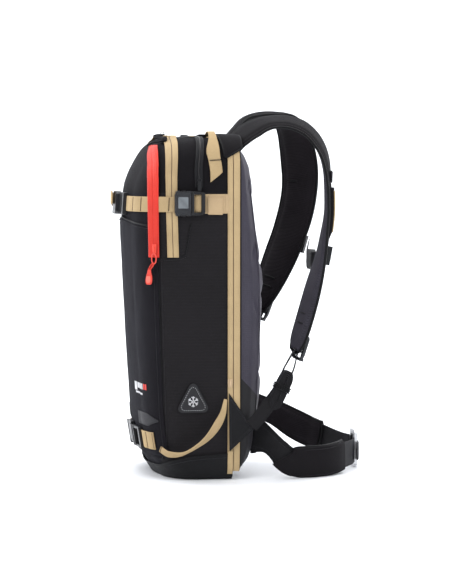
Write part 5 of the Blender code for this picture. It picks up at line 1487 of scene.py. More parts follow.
def swell(ob, pressure, cap, frames=20, pins=None, keep=0.5, grav=False):
    """Cloth run on a closed padded form; pinned points stay, others move by at most cap."""
    rest = [v.co.copy() for v in ob.data.vertices]
    if pins is not None:
        vg = ob.vertex_groups.new(name="pin")
        for i, w in pins:
            vg.add([i], w, "REPLACE")
    mod = ob.modifiers.new("cloth", "CLOTH")
    st = mod.settings
    st.quality = 4
    st.mass = 0.25
    st.tension_stiffness = st.compression_stiffness = 18
    st.shear_stiffness = 6
    st.bending_stiffness = 0.6
    st.use_pressure = True
    st.uniform_pressure_force = pressure
    st.effector_weights.gravity = 0.0
    st.air_damping = 2.0
    if pins is not None:
        st.vertex_group_mass = "pin"
        st.pin_stiffness = 1.0
    mod.collision_settings.use_collision = False
    mod.point_cache.frame_start, mod.point_cache.frame_end = 1, frames
    for f in range(1, frames + 1):
        scene.frame_set(f)
    dg = bpy.context.evaluated_depsgraph_get()
    got = [v.co.copy() for v in ob.evaluated_get(dg).data.vertices]
    ob.modifiers.remove(mod)
    scene.frame_set(1)
    for v, a, b in zip(ob.data.vertices, rest, got):
        d = (b - a) * keep if (b - a).length < 0.2 else Vector()
        if d.length > cap:
            d = d.normalized() * cap
        v.co = a + d
    ob.data.update()
    return ob


pins = []
for i in range(NZ + 1):
    for j in range(NY + 1):
        p = verts[i * n + j]
        inset = min(panel_outline(p.z) - abs(p.y), p.z - PZ0, PZ1 - p.z)
        g_ = groove(p.z, p.y)
        if inset < 0.004 or g_ > 0.0020:
            pins.append((i * n + j, 1.0))
pins += [(k, 1.0) for k in range(b0, len(verts))]
swell(pad, 3.0, 0.0035, 16, pins, keep=0.6)
ride(pad, "back_door")
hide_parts("back_panel")
# binding that closes the panel's edge against its tape
edge = []
for k in border:
    p = verts[k]
    edge.append(Vector((0.0570, p.y * 0.998, p.z)))
ride(tube("back_pad_binding", edge[::2], 0.0017, M_BINDING, 8, closed=True), "back_door")
# piping along the panel's folded edge
for s_ in (-1, 1):
    pts = []
    for k in range(60):
        z = 0.075 + 0.375 * k / 59
        w_ = panel_outline(z) - 0.0186
        x_ = 0.0468 + (curve_at(PANEL, z) - 0.0468) * panel_depth(0.0186)
        pts.append(Vector((x_ - 0.0004, s_ * w_, z)))
    ride(tube(f"panel_fold_{s_ + 1}", pts, 0.0009, M_FOAM, 6), "back_door")
bevelled("frame_sheet", M_SHEET, 0.0004)

# ------------------------------------------------------------------ shoulder straps
R_LINE = [(0.0500, -0.078, 0.4800), (0.0625, -0.078, 0.4955), (0.0763, -0.078, 0.5074), (0.0850, -0.078, 0.5125), (0.0970, -0.078, 0.5185), (0.1120, -0.078, 0.5225),
          (0.1370, -0.079, 0.5225), (0.1620, -0.081, 0.5135), (0.1805, -0.086, 0.4935), (0.1910, -0.090, 0.4670),
          (0.1940, -0.094, 0.4297), (0.1935, -0.098, 0.3928), (0.1885, -0.102, 0.3604), (0.1810, -0.105, 0.3220),
          (0.1710, -0.106, 0.2820), (0.1605, -0.105, 0.2425), (0.1490, -0.104, 0.2040), (0.1440, -0.103, 0.1880)]
R_WIDE = [(0, 0.90, 0.40), (0, 0.92, 0.38), (0, 0.93, 0.36), (0, 0.94, 0.33), (0, 0.96, 0.27), (0, 0.97, 0.24), (0.05, 0.95, 0.28), (0.16, 0.93, 0.32),
          (0.30, 0.92, 0.22), (0.30, 0.95, 0.08), (0.20, 0.98, 0), (0.17, 0.98, 0), (0.10, 0.99, 0), (-0.04, 1, 0),
          (-0.17, 0.98, 0), (-0.24, 0.97, 0), (-0.30, 0.95, 0), (-0.32, 0.94, 0)]
W_R = [0.054, 0.060, 0.064, 0.065, 0.066, 0.066, 0.064, 0.062, 0.061, 0.060, 0.058, 0.057, 0.057, 0.057, 0.056, 0.052, 0.043, 0.026]
L_LINE = [(0.0520, 0.0605, 0.4720), (0.0660, 0.061, 0.4920), (0.0789, 0.0615, 0.5073), (0.0850, 0.062, 0.5140), (0.1000, 0.065, 0.5280), (0.1219, 0.068, 0.5345),
          (0.1430, 0.072, 0.5350), (0.1635, 0.077, 0.5290), (0.1765, 0.082, 0.5123), (0.1840, 0.086, 0.4890),
          (0.1890, 0.090, 0.4630), (0.1910, 0.092, 0.4384), (0.1900, 0.093, 0.4170), (0.1865, 0.094, 0.3940),
          (0.1805, 0.094, 0.3710), (0.1720, 0.093, 0.3465), (0.1596, 0.092, 0.3157), (0.1448, 0.090, 0.2820),
          (0.1320, 0.088, 0.2545), (0.1244, 0.086, 0.2360)]
L_WIDE = [(0, 0.98, -0.10), (0, 0.98, -0.10), (0, 0.98, -0.10), (0, 0.99, -0.10), (0, 1, -0.05), (0, 1, 0), (-0.03, 1, -0.03), (-0.22, 0.95, -0.18),
          (-0.50, 0.84, -0.20), (-0.68, 0.72, -0.12), (-0.77, 0.64, -0.04), (-0.78, 0.63, 0), (-0.78, 0.63, 0),
          (-0.78, 0.63, 0), (-0.78, 0.63, 0), (-0.77, 0.64, 0), (-0.76, 0.65, 0), (-0.74, 0.67, 0), (-0.70, 0.71, 0),
          (-0.68, 0.73, 0)]
W_L = [0.054, 0.059, 0.062, 0.063, 0.064, 0.064, 0.063, 0.062, 0.061, 0.060, 0.060, 0.059, 0.058, 0.058, 0.058, 0.057, 0.056, 0.050, 0.041, 0.026]


def padded_strap(name, line, wide, widths, thick, n, mats, body, outward, rounded=True, blend_to=None, press=2.0, crown=1.0):
    """Foam strap: crowned faces, a sewn channel along each edge, and bound edges."""
    P, W, WI = catmull(line, n, wide, [(w, 0, 0) for w in widths])
    fr = frames_of(P, W)
    k = 18
    verts, faces, fm = [], [], []
    left, right, lane_a, lane_b, lane_n = [], [], [], [], []
    for i, ((p, t, w, nn), wi) in enumerate(zip(fr, WI)):
        if nn.dot(outward(p)) < 0:
            nn = -nn
        a = wi.x / 2
        e = min(1.0, (n - 1 - i) / 4) if rounded else 1.0
        th = thick / 2 * (0.55 + 0.45 * math.sqrt(max(e, 0.05)))
        puff = 1 + 0.05 * noise.noise(Vector((p.x * 40, p.y * 40, p.z * 40)))
        for face in (1, -1):
            for c in range(k + 1) if face == 1 else range(k - 1, 0, -1):
                s = -1 + 2 * c / k
                prof = (1 - abs(s) ** 3.2) ** 0.5 if abs(s) < 1 else 0.0
                chan = 1 - 0.42 * math.exp(-((abs(s) - 0.76) / 0.065) ** 2)
                hgt = th * max(prof, 0.30 * (1 - abs(s) ** 8)) * chan * puff * (crown if face == 1 else 0.9)
                verts.append(p + w * (a * s) + nn * (hgt * face))
                if i < n - 1:
                    fm.append(0 if face == 1 else 1)
        left.append(p - w * a)
        right.append(p + w * a)
        lane_a.append(p - w * (a * 0.76) + nn * (th * 0.52 * crown))
        lane_b.append(p + w * (a * 0.76) + nn * (th * 0.52 * crown))
        lane_n.append(nn)
    m_ = 2 * k
    for i in range(n - 1):
        for j in range(m_):
            faces.append((i * m_ + j, i * m_ + (j + 1) % m_, (i + 1) * m_ + (j + 1) % m_, (i + 1) * m_ + j))
    fm = [(0 if j < k else 1) for i in range(n - 1) for j in range(m_)]
    faces.append(tuple(range(m_)))
    faces.append(tuple(range((n - 1) * m_, n * m_)))
    fm += [0, 0]
    ob = new_object(name, verts, faces, mats, face_mats=fm, sharp=None)
    pin = []
    for i in range(n):
        for j in range(m_):
            s = abs(-1 + 2 * j / k) if j <= k else abs(-1 + 2 * (m_ - j) / k)
            if s > 0.93 or abs(s - 0.76) < 0.06 or i in (0, n - 1):
                pin.append((i * m_ + j, 1.0))
    swell(ob, press, 0.0020, 12, pin, keep=0.5)
    extra = []
    rim = left + [right[-1]] + right[::-1][1:] if rounded else None
    if rounded:
        end = fr[-1]
        mid = end[0] + end[1] * 0.004
        rim = left[:-1] + [left[-1] + end[1] * 0.001, mid, right[-1] + end[1] * 0.001] + right[::-1][1:]
        rim = catmull(rim, int(len(rim) * 1.2))[0]
        extra.append(tube(name + "_binding", rim, 0.0021, M_BINDING, 8))
    else:
        extra.append(tube(name + "_binding_a", left, 0.0021, M_BINDING, 8))
        extra.append(tube(name + "_binding_b", right, 0.0021, M_BINDING, 8))
    nf = lambda p, j: lane_n[min(j, n - 1)]
    extra.append(stitches(name + "_stitching", [(lane_a, nf), (lane_b, nf)], M_THREAD_GREY, pitch=0.0034))
    if blend_to:
        for o in [ob] + extra:
            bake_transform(o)
    else:
        for o in [ob] + extra:
            ride(o, body)
    return ob, fr, WI


def strap_out(p):
    return (p - Vector((0.118, p.y, 0.42))).normalized() if p.z > 0.40 else Vector((1, 0, 0.1))


# the near strap's inner face wears the paler, lit copy of the air mesh (painted light)
near_strap, FR_R, WI_R = padded_strap("strap_near", R_LINE, R_WIDE, W_R, 0.0115, 96, [M_STRAP, M_MESH_LIT], "harness", strap_out,
                                      blend_to=("back_door", "harness", (0.060, 0, 0.490), (0.092, 0, 0.512)))
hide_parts("shoulder_strap_right")
far_strap, FR_L, WI_L = padded_strap("strap_far", L_LINE, L_WIDE, W_L, 0.0115, 96, [M_STRAP, M_MESH], "harness",
                                     lambda p: (p - Vector((0.118, p.y - 0.02, 0.42))).normalized() if p.z > 0.47 else Vector((0.6, 0.8, 0)),
                                     blend_to=("back_door", "harness", (0.060, 0, 0.488), (0.092, 0, 0.516)))
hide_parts("shoulder_strap_left")


def station(fr, z):
    """Frame of a strap's lower run at a height."""
    run = [f for f in fr if f[0].z < 0.47]
    return min(run, key=lambda f: abs(f[0].z - z))


# flaps of the harness yoke, sewn down over the upper corners of the back panel
for side, fn, tag in ((-1, near, "near"), (1, far, "far")):
    NYK = 16
    verts, faces = [], []
    for i in range(NYK + 1):
        s_ = i / NYK
        for j in range(NYK + 1):
            t_ = j / NYK
            x = 0.0300 + 0.0290 * s_ if t_ < 1 else 0.0300 + 0.0290 * s_
            x = (0.0335 - 0.0085 * t_) + (0.0262 + 0.0115 * t_) * s_
            h0 = 0.4700 + 0.0130 * abs(s_ - 0.12) / 0.88
            h = h0 + (0.5520 - h0) * t_
            edge_ = min(1.0, min(s_, 1 - s_) * 6 + 0.15) * min(1.0, t_ * 5 + 0.2)
            verts.append(fn(x, h, 0.0024 + 0.0022 * edge_ * (1 - 0.5 * s_)))
    m2 = NYK + 1
    for i in range(NYK):
        for j in range(NYK):
            faces.append((i * m2 + j, i * m2 + j + 1, (i + 1) * m2 + j + 1, (i + 1) * m2 + j))
    o = new_object(f"yoke_flap_{tag}", verts, faces, M_STRAP, sharp=60)
    sm = o.modifiers.new("thick", "SOLIDIFY")
    sm.thickness, sm.offset = 0.0026, 0
    ride(o, "back_door")
    rim = [verts[j] for j in range(NYK, -1, -1)] + [verts[i * m2] for i in range(1, NYK + 1)] + [verts[NYK * m2 + j] for j in range(1, NYK + 1)]
    ride(tube(f"yoke_binding_{tag}", rim, 0.0016, M_BINDING, 8), "back_door")

# elastic keepers sewn across the near strap's outer and inner faces
for i, z in enumerate((0.2400, 0.2240)):
    p, t, w, nn = station(FR_R, z)
    nn = nn if nn.x > 0 else -nn
    pts = [p + w * (0.020 * s) - nn * (0.0052 * (1 - 0.5 * abs(s) ** 3)) for s in [-1 + k / 5 for k in range(11)]]
    ride(tube(f"keeper_near_{i}", pts[3:8], 0.0012, M_BINDING, 6), "harness")
for i, z in enumerate((0.4320, 0.2860, 0.2730)):
    p, t, w, nn = station(FR_L, z)
    nn = nn if nn.x > 0 else -nn
    pts = [p + w * (0.016 * s) - nn * 0.0056 for s in ((-0.6, -0.2, 0.2, 0.6) if i else (0.1, 0.5, 0.9, 1.2))]
    ride(tube(f"keeper_far_{i}", pts, 0.0015, M_BINDING, 6), "harness")

# trigger sleeve: a cloth pocket over the handle, open at the top, with a tan zip
run = [f for f in FR_R if 0.3480 < f[0].z < 0.4290]
verts, faces, zrow = [], [], []
arch = [(-0.0198, 0.0), (-0.0196, 0.0022), (-0.0172, 0.0040), (-0.0100, 0.0050), (0.0, 0.0054), (0.0100, 0.0050), (0.0172, 0.0040), (0.0196, 0.0022), (0.0198, 0.0)]
for i, (p, t, w, nn) in enumerate(run):
    nn = nn if nn.x > 0 else -nn
    w = w if w.y > 0 else -w
    k_ = i / (len(run) - 1)
    hgt = min(1.0, 0.30 + (1 - k_) * 5.0)
    c = p + nn * 0.0046
    for y_, h_ in arch:
        verts.append(c + w * y_ + nn * (h_ * hgt))
    for y_, h_ in arch:
        verts.append(c + w * (y_ * 0.94) + nn * max(h_ * hgt - 0.0011, -0.0004))
    zrow.append((c + w * -0.0178 + nn * (0.0037 * hgt + 0.0003), c + w * -0.0098 + nn * (0.0050 * hgt + 0.0003), (nn - w * 0.3).normalized()))
a_ = len(arch)
m2 = 2 * a_
for i in range(len(run) - 1):
    for j in range(a_ - 1):
        faces.append((i * m2 + j, i * m2 + j + 1, (i + 1) * m2 + j + 1, (i + 1) * m2 + j))
        faces.append((i * m2 + a_ + j, (i + 1) * m2 + a_ + j, (i + 1) * m2 + a_ + j + 1, i * m2 + a_ + j + 1))
    for j in (0, a_ - 1):
        faces.append((i * m2 + j, (i + 1) * m2 + j, (i + 1) * m2 + a_ + j, i * m2 + a_ + j))
for i in (0, len(run) - 1):
    for j in range(a_ - 1):
        faces.append((i * m2 + j, i * m2 + j + 1, i * m2 + a_ + j + 1, i * m2 + a_ + j))
o = ride(new_object("trigger_pocket", verts, faces, M_STRAP, sharp=50), "harness")
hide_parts("trigger_sleeve")
ride(ribbon("trigger_pocket_zip", zrow[1:-2], lambda t: 0.0012, M_ZIP_TAN), "harness")
run2 = [f for f in FR_R if 0.4300 < f[0].z < 0.450]
frow = []
for i, (p, t, w, nn) in enumerate(run2):
    nn = nn if nn.x > 0 else -nn
    k_ = i / (len(run2) - 1)
    c = p + nn * (0.0064 - 0.0010 * k_)
    frow.append((c - w * 0.0190, c + w * 0.0190, nn))
ride(ribbon("trigger_flap", frow, lambda t: 0.0022, M_FRONT), "harness")
# slim pull inside the sleeve
hst = [f for f in FR_R if 0.3640 < f[0].z < 0.4240]
hrow = []
for p, t, w, nn in hst:
    nn = nn if nn.x > 0 else -nn
    c = p + nn * 0.0070
    hrow.append((c - w * 0.0115, c + w * 0.0115, nn))
o = ride(ribbon("trigger_pull_tab", hrow, lambda t: 0.0016, M_RED_PULL), "trigger")
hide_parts("trigger_handle")


# ladder locks and the webbing through them
def ladder_lock(tag, fr):
    p, t, w, nn = fr[-3]
    nn = nn if nn.x > 0 else -nn
    M2 = Matrix((w, t, nn)).transposed().to_4x4()
    if M2.determinant() < 0:
        M2 = Matrix((-w, t, nn)).transposed().to_4x4()
    M2.translation = p + t * 0.004 + nn * 0.0052
    parts = []
    for s in (-1, 1):
        parts.append(prism_data([(s * 0.0128, -0.018), (s * 0.0155, -0.014), (s * 0.0155, 0.010), (s * 0.0125, 0.019), (s * 0.0104, 0.019), (s * 0.0104, -0.018)][::s], 0.0, 0.0048, M2))
    for y0, y1, z1 in ((-0.018, -0.0145, 0.0040), (-0.006, -0.0025, 0.0050), (0.005, 0.0085, 0.0058), (0.0155, 0.0200, 0.0072)):
        parts.append(box_data((-0.0115, y0, 0.0006), (0.0115, y1, z1), M2))
    o = merged(f"adjuster_{tag}", parts, [M_PLASTIC], bevel=0.0007, segs=3)
    ride(o, "harness")
    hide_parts(f"ladder_lock_{tag}")
    return p, t, w, nn


lp = ladder_lock("right", FR_R)
ll = ladder_lock("left", FR_L)


def flat_web(name, line, wide, width, thick, n, mat, body=None, blend_to=None, flip=None):
    P, W = catmull(line, n, wide)
    rws = []
    for p, t, w, nn in frames_of(P, W):
        if flip is not None and nn.dot(Vector(flip)) < 0:
            nn = -nn
        rws.append((p - w * width / 2, p + w * width / 2, nn))
    o = ribbon(name, rws, lambda t: thick, mat)
    if blend_to:
        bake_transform(o)
    else:
        ride(o, body)
    return o


BL = ("back_door", "harness", (0.10, 0, 0.10), (0.145, 0, 0.185))
lw = flat_web("lower_web_near", [(0.0720, -0.1345, 0.0790), (0.0850, -0.1340, 0.0930), (0.0965, -0.1325, 0.1080), (0.1045, -0.1290, 0.1220), (0.1140, -0.1240, 0.1400), (0.1235, -0.1170, 0.1585), (0.1335, -0.1090, 0.1730), (0.1430, -0.1030, 0.1860)],
              [(-0.58, 0.05, 0.62), (-0.60, 0.12, 0.58), (-0.58, 0.35, 0.50), (-0.30, 0.86, 0.28), (0.05, 0.97, 0.08), (0.17, 0.98, 0), (0.17, 0.98, 0), (0.12, 0.98, 0)],
              0.0200, 0.0016, 56, M_WEB, blend_to=BL, flip=(-1, -0.6, 0.3))
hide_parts("lower_webbing_right")
lw = flat_web("lower_web_far", [(0.0830, 0.1335, 0.0800), (0.0930, 0.1320, 0.1050), (0.1010, 0.1230, 0.1400), (0.1090, 0.1100, 0.1800), (0.1160, 0.0960, 0.2100), (0.1270, 0.0870, 0.2380)],
              [(-0.45, -0.25, 0.70), (-0.6, 0.1, 0.5), (-0.62, 0.4, 0.35), (-0.64, 0.6, 0.25), (-0.66, 0.70, 0.15), (-0.66, 0.74, 0)],
              0.0200, 0.0015, 36, M_WEB, blend_to=("back_door", "harness", (0.10, 0, 0.10), (0.125, 0, 0.235)), flip=(1, 0.6, 0))
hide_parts("lower_webbing_left")
# second leg of the webbing, back down from the adjuster
flat_web("lower_web_leg", [(0.1475, -0.1025, 0.1865), (0.1440, -0.1060, 0.1740), (0.1395, -0.1110, 0.1610), (0.1340, -0.1165, 0.1510), (0.1280, -0.1210, 0.1430)],
         [(0.12, 0.98, 0), (0.17, 0.98, 0), (0.17, 0.98, 0), (0.17, 0.98, 0), (0.17, 0.98, 0)], 0.0200, 0.0015, 24, M_WEB, blend_to=BL, flip=(1, -0.3, 0.3))


def loop_band(name, pts, y0, y1, thick, mat, n=64):
    """Closed band of webbing seen edge-on: its run in X-Z, its width along Y."""
    P, = catmull([(x, 0, z) for x, z in pts] + [(pts[0][0], 0, pts[0][1])], n + 1)
    P = P[:-1]
    verts, faces, uvs = [], [], []
    prof = [(0.0, -0.8), (0.06, -1.0), (0.5, -1.0), (0.94, -1.0), (1.0, -0.8), (1.0, 0.8), (0.94, 1.0), (0.5, 1.0), (0.06, 1.0), (0.0, 0.8)]
    k_, run_ = len(prof), 0.0
    for i, p in enumerate(P):
        t = (P[(i + 1) % n] - P[(i - 1) % n]).normalized()
        nn = Vector((t.z, 0, -t.x))
        if i:
            run_ += (p - P[i - 1]).length
        slant = -0.16 * (p.x - 0.115)
        for c, e in prof:
            verts.append(Vector((p.x, y0 + (y1 - y0) * c + slant, p.z)) + nn * (thick / 2 * e))
            uvs.append((c * abs(y1 - y0), run_))
    for i in range(n):
        for j in range(k_):
            faces.append((i * k_ + j, i * k_ + (j + 1) % k_, ((i + 1) % n) * k_ + (j + 1) % k_, ((i + 1) % n) * k_ + j))
    o = new_object(name, verts, faces, mat, uvs=uvs, sharp=50)
    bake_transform(o)
    return o


# the near webbing's spare length, rolled up on itself and held by an elastic band
OUTER = [(0.1262, 0.1585), (0.1315, 0.1540), (0.1308, 0.1430), (0.1245, 0.1290), (0.1180, 0.1150), (0.1120, 0.1058), (0.1050, 0.1050), (0.1010, 0.1120),
         (0.1035, 0.1230), (0.1095, 0.1350), (0.1160, 0.1480), (0.1215, 0.1570)]
cx_, cz_ = 0.1160, 0.1310
for k, (f_, mat_) in enumerate(((1.0, M_WEB), (0.78, M_WEB), (0.55, M_WEB), (0.33, M_WEB))):
    pts = []
    for x, z in OUTER:
        a_, b_ = (x - cx_) * 0.369 + (z - cz_) * 0.930, (x - cx_) * 0.930 - (z - cz_) * 0.369
        a_, b_ = a_ * (0.42 * f_ + 0.58), b_ * f_
        pts.append((cx_ + a_ * 0.369 + b_ * 0.930, cz_ + a_ * 0.930 - b_ * 0.369))
    loop_band(f"web_roll_{k}", pts, -0.1395, -0.1185, 0.0027, mat_)
core = []
for x, z in OUTER:
    a_, b_ = (x - cx_) * 0.369 + (z - cz_) * 0.930, (x - cx_) * 0.930 - (z - cz_) * 0.369
    a_, b_ = a_ * 0.60, b_ * 0.14
    core.append((cx_ + a_ * 0.369 + b_ * 0.930, cz_ + a_ * 0.930 - b_ * 0.369))
loop_band("web_roll_core", core, -0.1385, -0.1195, 0.0034, M_WEB, 32)
band_pts = []
mid_a, mid_b = Vector((0.1100, 0, 0.1352)), Vector((0.1242, 0, 0.1282))
ax_ = (mid_b - mid_a).normalized()
for k in range(30):
    a = 2 * pi * k / 30
    ca, sa = math.cos(a), math.sin(a)
    q_ = (mid_a + mid_b) / 2 + ax_ * (0.0112 * math.copysign(abs(ca) ** 0.55, ca))
    band_pts.append(Vector((q_.x, -0.1290 - 0.16 * (q_.x - 0.115) + 0.0122 * math.copysign(abs(sa) ** 0.45, sa), q_.z)))
for k in range(3):
    o = tube(f"web_band_{k}", [p + Vector((0.0012, 0, 0.0026)) * k for p in band_pts], 0.0014, M_BINDING, 8, closed=True)
    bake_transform(o)

# triangular anchors with their stitching
for side, tag in ((-1, "right"), (1, "left")):
    A_, B_, C_ = (0.0392, 0.1275), (0.0755, 0.0745), (0.0400, 0.0425)
    rows_ = []
    N_ = 16
    verts, faces = [], []
    for i in range(N_ + 1):
        s = i / N_
        e0 = (A_[0] + (B_[0] - A_[0]) * s, A_[1] + (B_[1] - A_[1]) * s)
        e1 = (C_[0] + (B_[0] - C_[0]) * s, C_[1] + (B_[1] - C_[1]) * s)
        for j in range(N_ + 1):
            t = j / N_
            x, z = e0[0] + (e1[0] - e0[0]) * t, e0[1] + (e1[1] - e0[1]) * t
            fold = 0.0012 * math.exp(-((t - 0.38 + 0.1 * s) / 0.07) ** 2) * s + 0.0009 * math.exp(-((t - 0.66) / 0.06) ** 2) * s
            y = HALF_W + 0.0028 + 0.0012 + fold - 0.0010 * s
            verts.append(Vector((x, side * y, z)))
    n2 = N_ + 1
    for i in range(N_):
        for j in range(N_):
            faces.append((i * n2 + j, i * n2 + j + 1, (i + 1) * n2 + j + 1, (i + 1) * n2 + j))
    o = new_object(f"anchor_{tag}", verts, faces, M_ANCHOR, sharp=60)
    sm = o.modifiers.new("thick", "SOLIDIFY")
    sm.thickness, sm.offset = 0.0018, -1 if side > 0 else 1
    sm.offset = 0
    ride(o, "back_door")
    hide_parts(f"strap_anchor_{tag}")
    yy = side * (HALF_W + 0.0028 + 0.0012 + 0.0011)
    cen_ = ((A_[0] + B_[0] + C_[0]) / 3, (A_[1] + B_[1] + C_[1]) / 3)
    runs = []
    for kk in (0.90, 0.80):
        P3 = [Vector((cen_[0] + (x - cen_[0]) * kk, yy, cen_[1] + (z - cen_[1]) * kk)) for x, z in (A_, B_, C_, A_)]
        pts = []
        for a, b in zip(P3, P3[1:]):
            pts += [a.lerp(b, q / 12) for q in range(12)]
        runs.append((pts + [P3[-1]], lambda p, j, s=side: Vector((0, s, 0))))
    ride(stitches(f"anchor_stitching_{tag}", runs, M_THREAD_GREY), "back_door")

# ------------------------------------------------------------------ chest strap
for nm in ("chest_clip_right", "chest_clip_left"):
    bevelled(nm, M_PLASTIC_BLACK, 0.0012, 3)
bevelled("chest_buckle_socket", M_PLASTIC_BLACK, 0.0010, 3)
bevelled("chest_buckle_plug", M_PLASTIC_BLACK, 0.0007, 2)
o = flat_web("chest_web_near", [(0.1965, -0.104, 0.3268), (0.1970, -0.088, 0.3245), (0.1945, -0.065, 0.3205), (0.1890, -0.040, 0.3180), (0.1874, -0.0245, 0.3170)],
             [(0.20, 0, 1), (0.15, 0, 1), (0.05, 0, 1), (0, 0, 1), (0, 0, 1)], 0.0195, 0.0014, 30, M_WEB, body="chest_strap", flip=(1, 0, 0))
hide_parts("chest_webbing")
o = flat_web("chest_web_far", [(0.1876, 0.0180, 0.3170), (0.1895, 0.036, 0.3190), (0.1945, 0.055, 0.3265), (0.2000, 0.0755, 0.3370)],
             [(0, 0, 1), (0.05, 0, 1), (0.12, 0, 1), (0.22, 0, 1)], 0.0195, 0.0014, 30, M_WEB, body="chest_release", flip=(1, 0, 0))
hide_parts("chest_webbing_left")

# ------------------------------------------------------------------ hip belt
BELT_R = [(0.0800, -0.0960, 0.0620), (0.0900, -0.1030, 0.0600), (0.1030, -0.1115, 0.0525), (0.1160, -0.1190, 0.0400), (0.1290, -0.1235, 0.0270), (0.1463, -0.1240, 0.0236),
          (0.1809, -0.1150, 0.0234), (0.2038, -0.0960, 0.0245), (0.2205, -0.0735, 0.0262)]
BELT_L = [(0.0830, 0.1000, 0.0930), (0.1000, 0.1080, 0.0895), (0.1300, 0.1180, 0.0815), (0.1600, 0.1170, 0.0695), (0.1850, 0.1060, 0.0545),
          (0.2050, 0.0920, 0.0440), (0.2190, 0.0740, 0.0385)]
UPR = [(-0.20, -0.02, 1), (-0.20, -0.05, 1), (-0.15, -0.12, 1), (-0.05, -0.12, 1), (0.10, -0.10, 1), (0, -0.10, 1), (0, -0.10, 1), (0, -0.04, 1), (0, 0, 1)]
UPL = [(-0.20, 0.02, 1), (-0.10, 0.05, 1), (0.1, 0.1, 1), (0.1, 0.1, 1), (0, 0.1, 1), (0, 0.05, 1), (0, 0, 1)]
belt_out = lambda s: (lambda p: (Vector((p.x, p.y, 0)) - Vector((0.10, 0, 0))).normalized())
wr, FB_R, WB_R = padded_strap("belt_wing_near", BELT_R, UPR, [0.054, 0.048, 0.036, 0.033, 0.037, 0.0430, 0.0440, 0.0435, 0.0420], 0.0105, 72, [M_BELT, M_MESH], "hip_belt", belt_out(-1), press=1.5)
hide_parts("hip_wing_right")
wl, FB_L, WB_L = padded_strap("belt_wing_far", BELT_L, UPL, [0.056, 0.047, 0.034, 0.036, 0.042, 0.0440, 0.043], 0.0105, 64, [M_BELT, M_MESH], "hip_belt", belt_out(1), press=1.5)
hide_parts("hip_wing_left")
# outer sleeve of cloth that the belt webbing comes out of
for tag, fr, wi, lo, hi_ in (("near", FB_R, WB_R, 24, 71), ("far", FB_L, WB_L, 38, 63)):
    rws = []
    for (p, t, w, nn), wd_ in list(zip(fr, wi))[lo:hi_]:
        oo = (Vector((p.x, p.y, 0)) - Vector((0.10, 0, 0))).normalized()
        if nn.dot(oo) < 0:
            nn = -nn
        c = p + nn * 0.0046
        a = wd_.x / 2 * 1.02
        rws.append((c - w * a, c + w * a, nn))
    if tag == "near":
        for k, f_ in ((0, 0.0), (1, 0.35), (2, 0.7)):
            a_, b_, c_ = rws[k]
            rws[k] = (a_ - (rws[4][0] - rws[0][0]) * (0.35 - 0.35 * f_) * 0.6, b_ + (rws[4][0] - rws[0][0]) * (0.35 - 0.35 * f_) * 0.9, c_)
    ride(ribbon(f"belt_sleeve_{tag}", rws, lambda t: 0.0026 + 0.0006 * math.sin(9 * t), M_STRAP), "hip_belt")
    fold_ = [(a_.lerp(b_, -0.02) + n_ * 0.0022, a_.lerp(b_, 1.02) + n_ * 0.0022, n_) for a_, b_, n_ in rws[0:7]]
    ride(ribbon(f"belt_sleeve_fold_{tag}", fold_, lambda t: 0.0022 * math.sin(pi * min(max(t, 0.1), 0.9)) + 0.0004, M_STRAP), "hip_belt")
    runs = [([r[0].lerp(r[1], k) + r[2] * 0.0026 for r in rws], lambda p, j, r_=rws: r_[min(j, len(r_) - 1)][2]) for k in (0.07, 0.93)]
    runs.append(([rws[1][0].lerp(rws[1][1], k / 10) + rws[1][2] * 0.0026 for k in range(11)], lambda p, j, r_=rws: r_[1][2]))
    ride(stitches(f"belt_sleeve_stitching_{tag}", runs, M_THREAD_GREY), "hip_belt")
o = flat_web("belt_web_near", [(0.2120, -0.0850, 0.0250), (0.2200, -0.0740, 0.0250), (0.2330, -0.0540, 0.0250), (0.2460, -0.0330, 0.0255), (0.2522, -0.0165, 0.0265)],
             [(0, 0, 1)] * 5, 0.0380, 0.0017, 26, M_WEB, body="hip_belt", flip=(1, -0.3, 0))
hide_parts("hip_webbing_right")
o = flat_web("belt_web_far", [(0.2140, 0.0810, 0.0410), (0.2225, 0.0705, 0.0380), (0.2330, 0.0500, 0.0335), (0.2440, 0.0280, 0.0298), (0.2510, 0.0100, 0.0290)],
             [(0, 0, 1)] * 5, 0.0370, 0.0017, 26, M_WEB, body="hip_belt", flip=(1, 0.3, 0))
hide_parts("hip_webbing_left")
o = flat_web("belt_web_tail", [(0.2540, -0.0300, 0.0250), (0.2590, -0.0180, 0.0255), (0.2600, -0.0050, 0.0260), (0.2580, 0.0060, 0.0255)],
             [(0, 0, 1)] * 4, 0.0270, 0.0015, 16, M_WEB, body="hip_belt", flip=(1, 0, 0))
bevelled("hip_buckle_frame", M_METAL, 0.0009, 3)
bevelled("hip_buckle_hook", M_PLASTIC_BLACK, 0.0008, 3)

# ------------------------------------------------------------------ inside
bl = nodes["airbag_bladder"]
lo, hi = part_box("airbag_bladder")
verts, faces = [], []
NA, NB = 22, 40
cx, cy, cz = [(a + b) / 2 for a, b in zip(lo, hi)]
ex, ey, ez = [(b - a) / 2 for a, b in zip(lo, hi)]
for i in range(NA + 1):
    for j in range(NB):
        a = pi * i / NA
        b = 2 * pi * j / NB
        sx = math.copysign(abs(math.cos(a)) ** 0.55, math.cos(a))
        r = abs(math.sin(a)) ** 0.45
        sy = r * math.copysign(abs(math.cos(b)) ** 0.5, math.cos(b))
        sz = r * math.copysign(abs(math.sin(b)) ** 0.5, math.sin(b))
        fold = 0.0016 * math.sin(sz * 34 + 2 * sx) + 0.0012 * noise.noise(Vector((sx * 4, sy * 8, sz * 5)))
        k = 0.95
        verts.append(Vector((cx + ex * k * sx + fold * 0.6, cy + ey * k * sy, cz + ez * k * sz)))
for i in range(NA):
    for j in range(NB):
        faces.append((i * NB + j, i * NB + (j + 1) % NB, (i + 1) * NB + (j + 1) % NB, (i + 1) * NB + j))
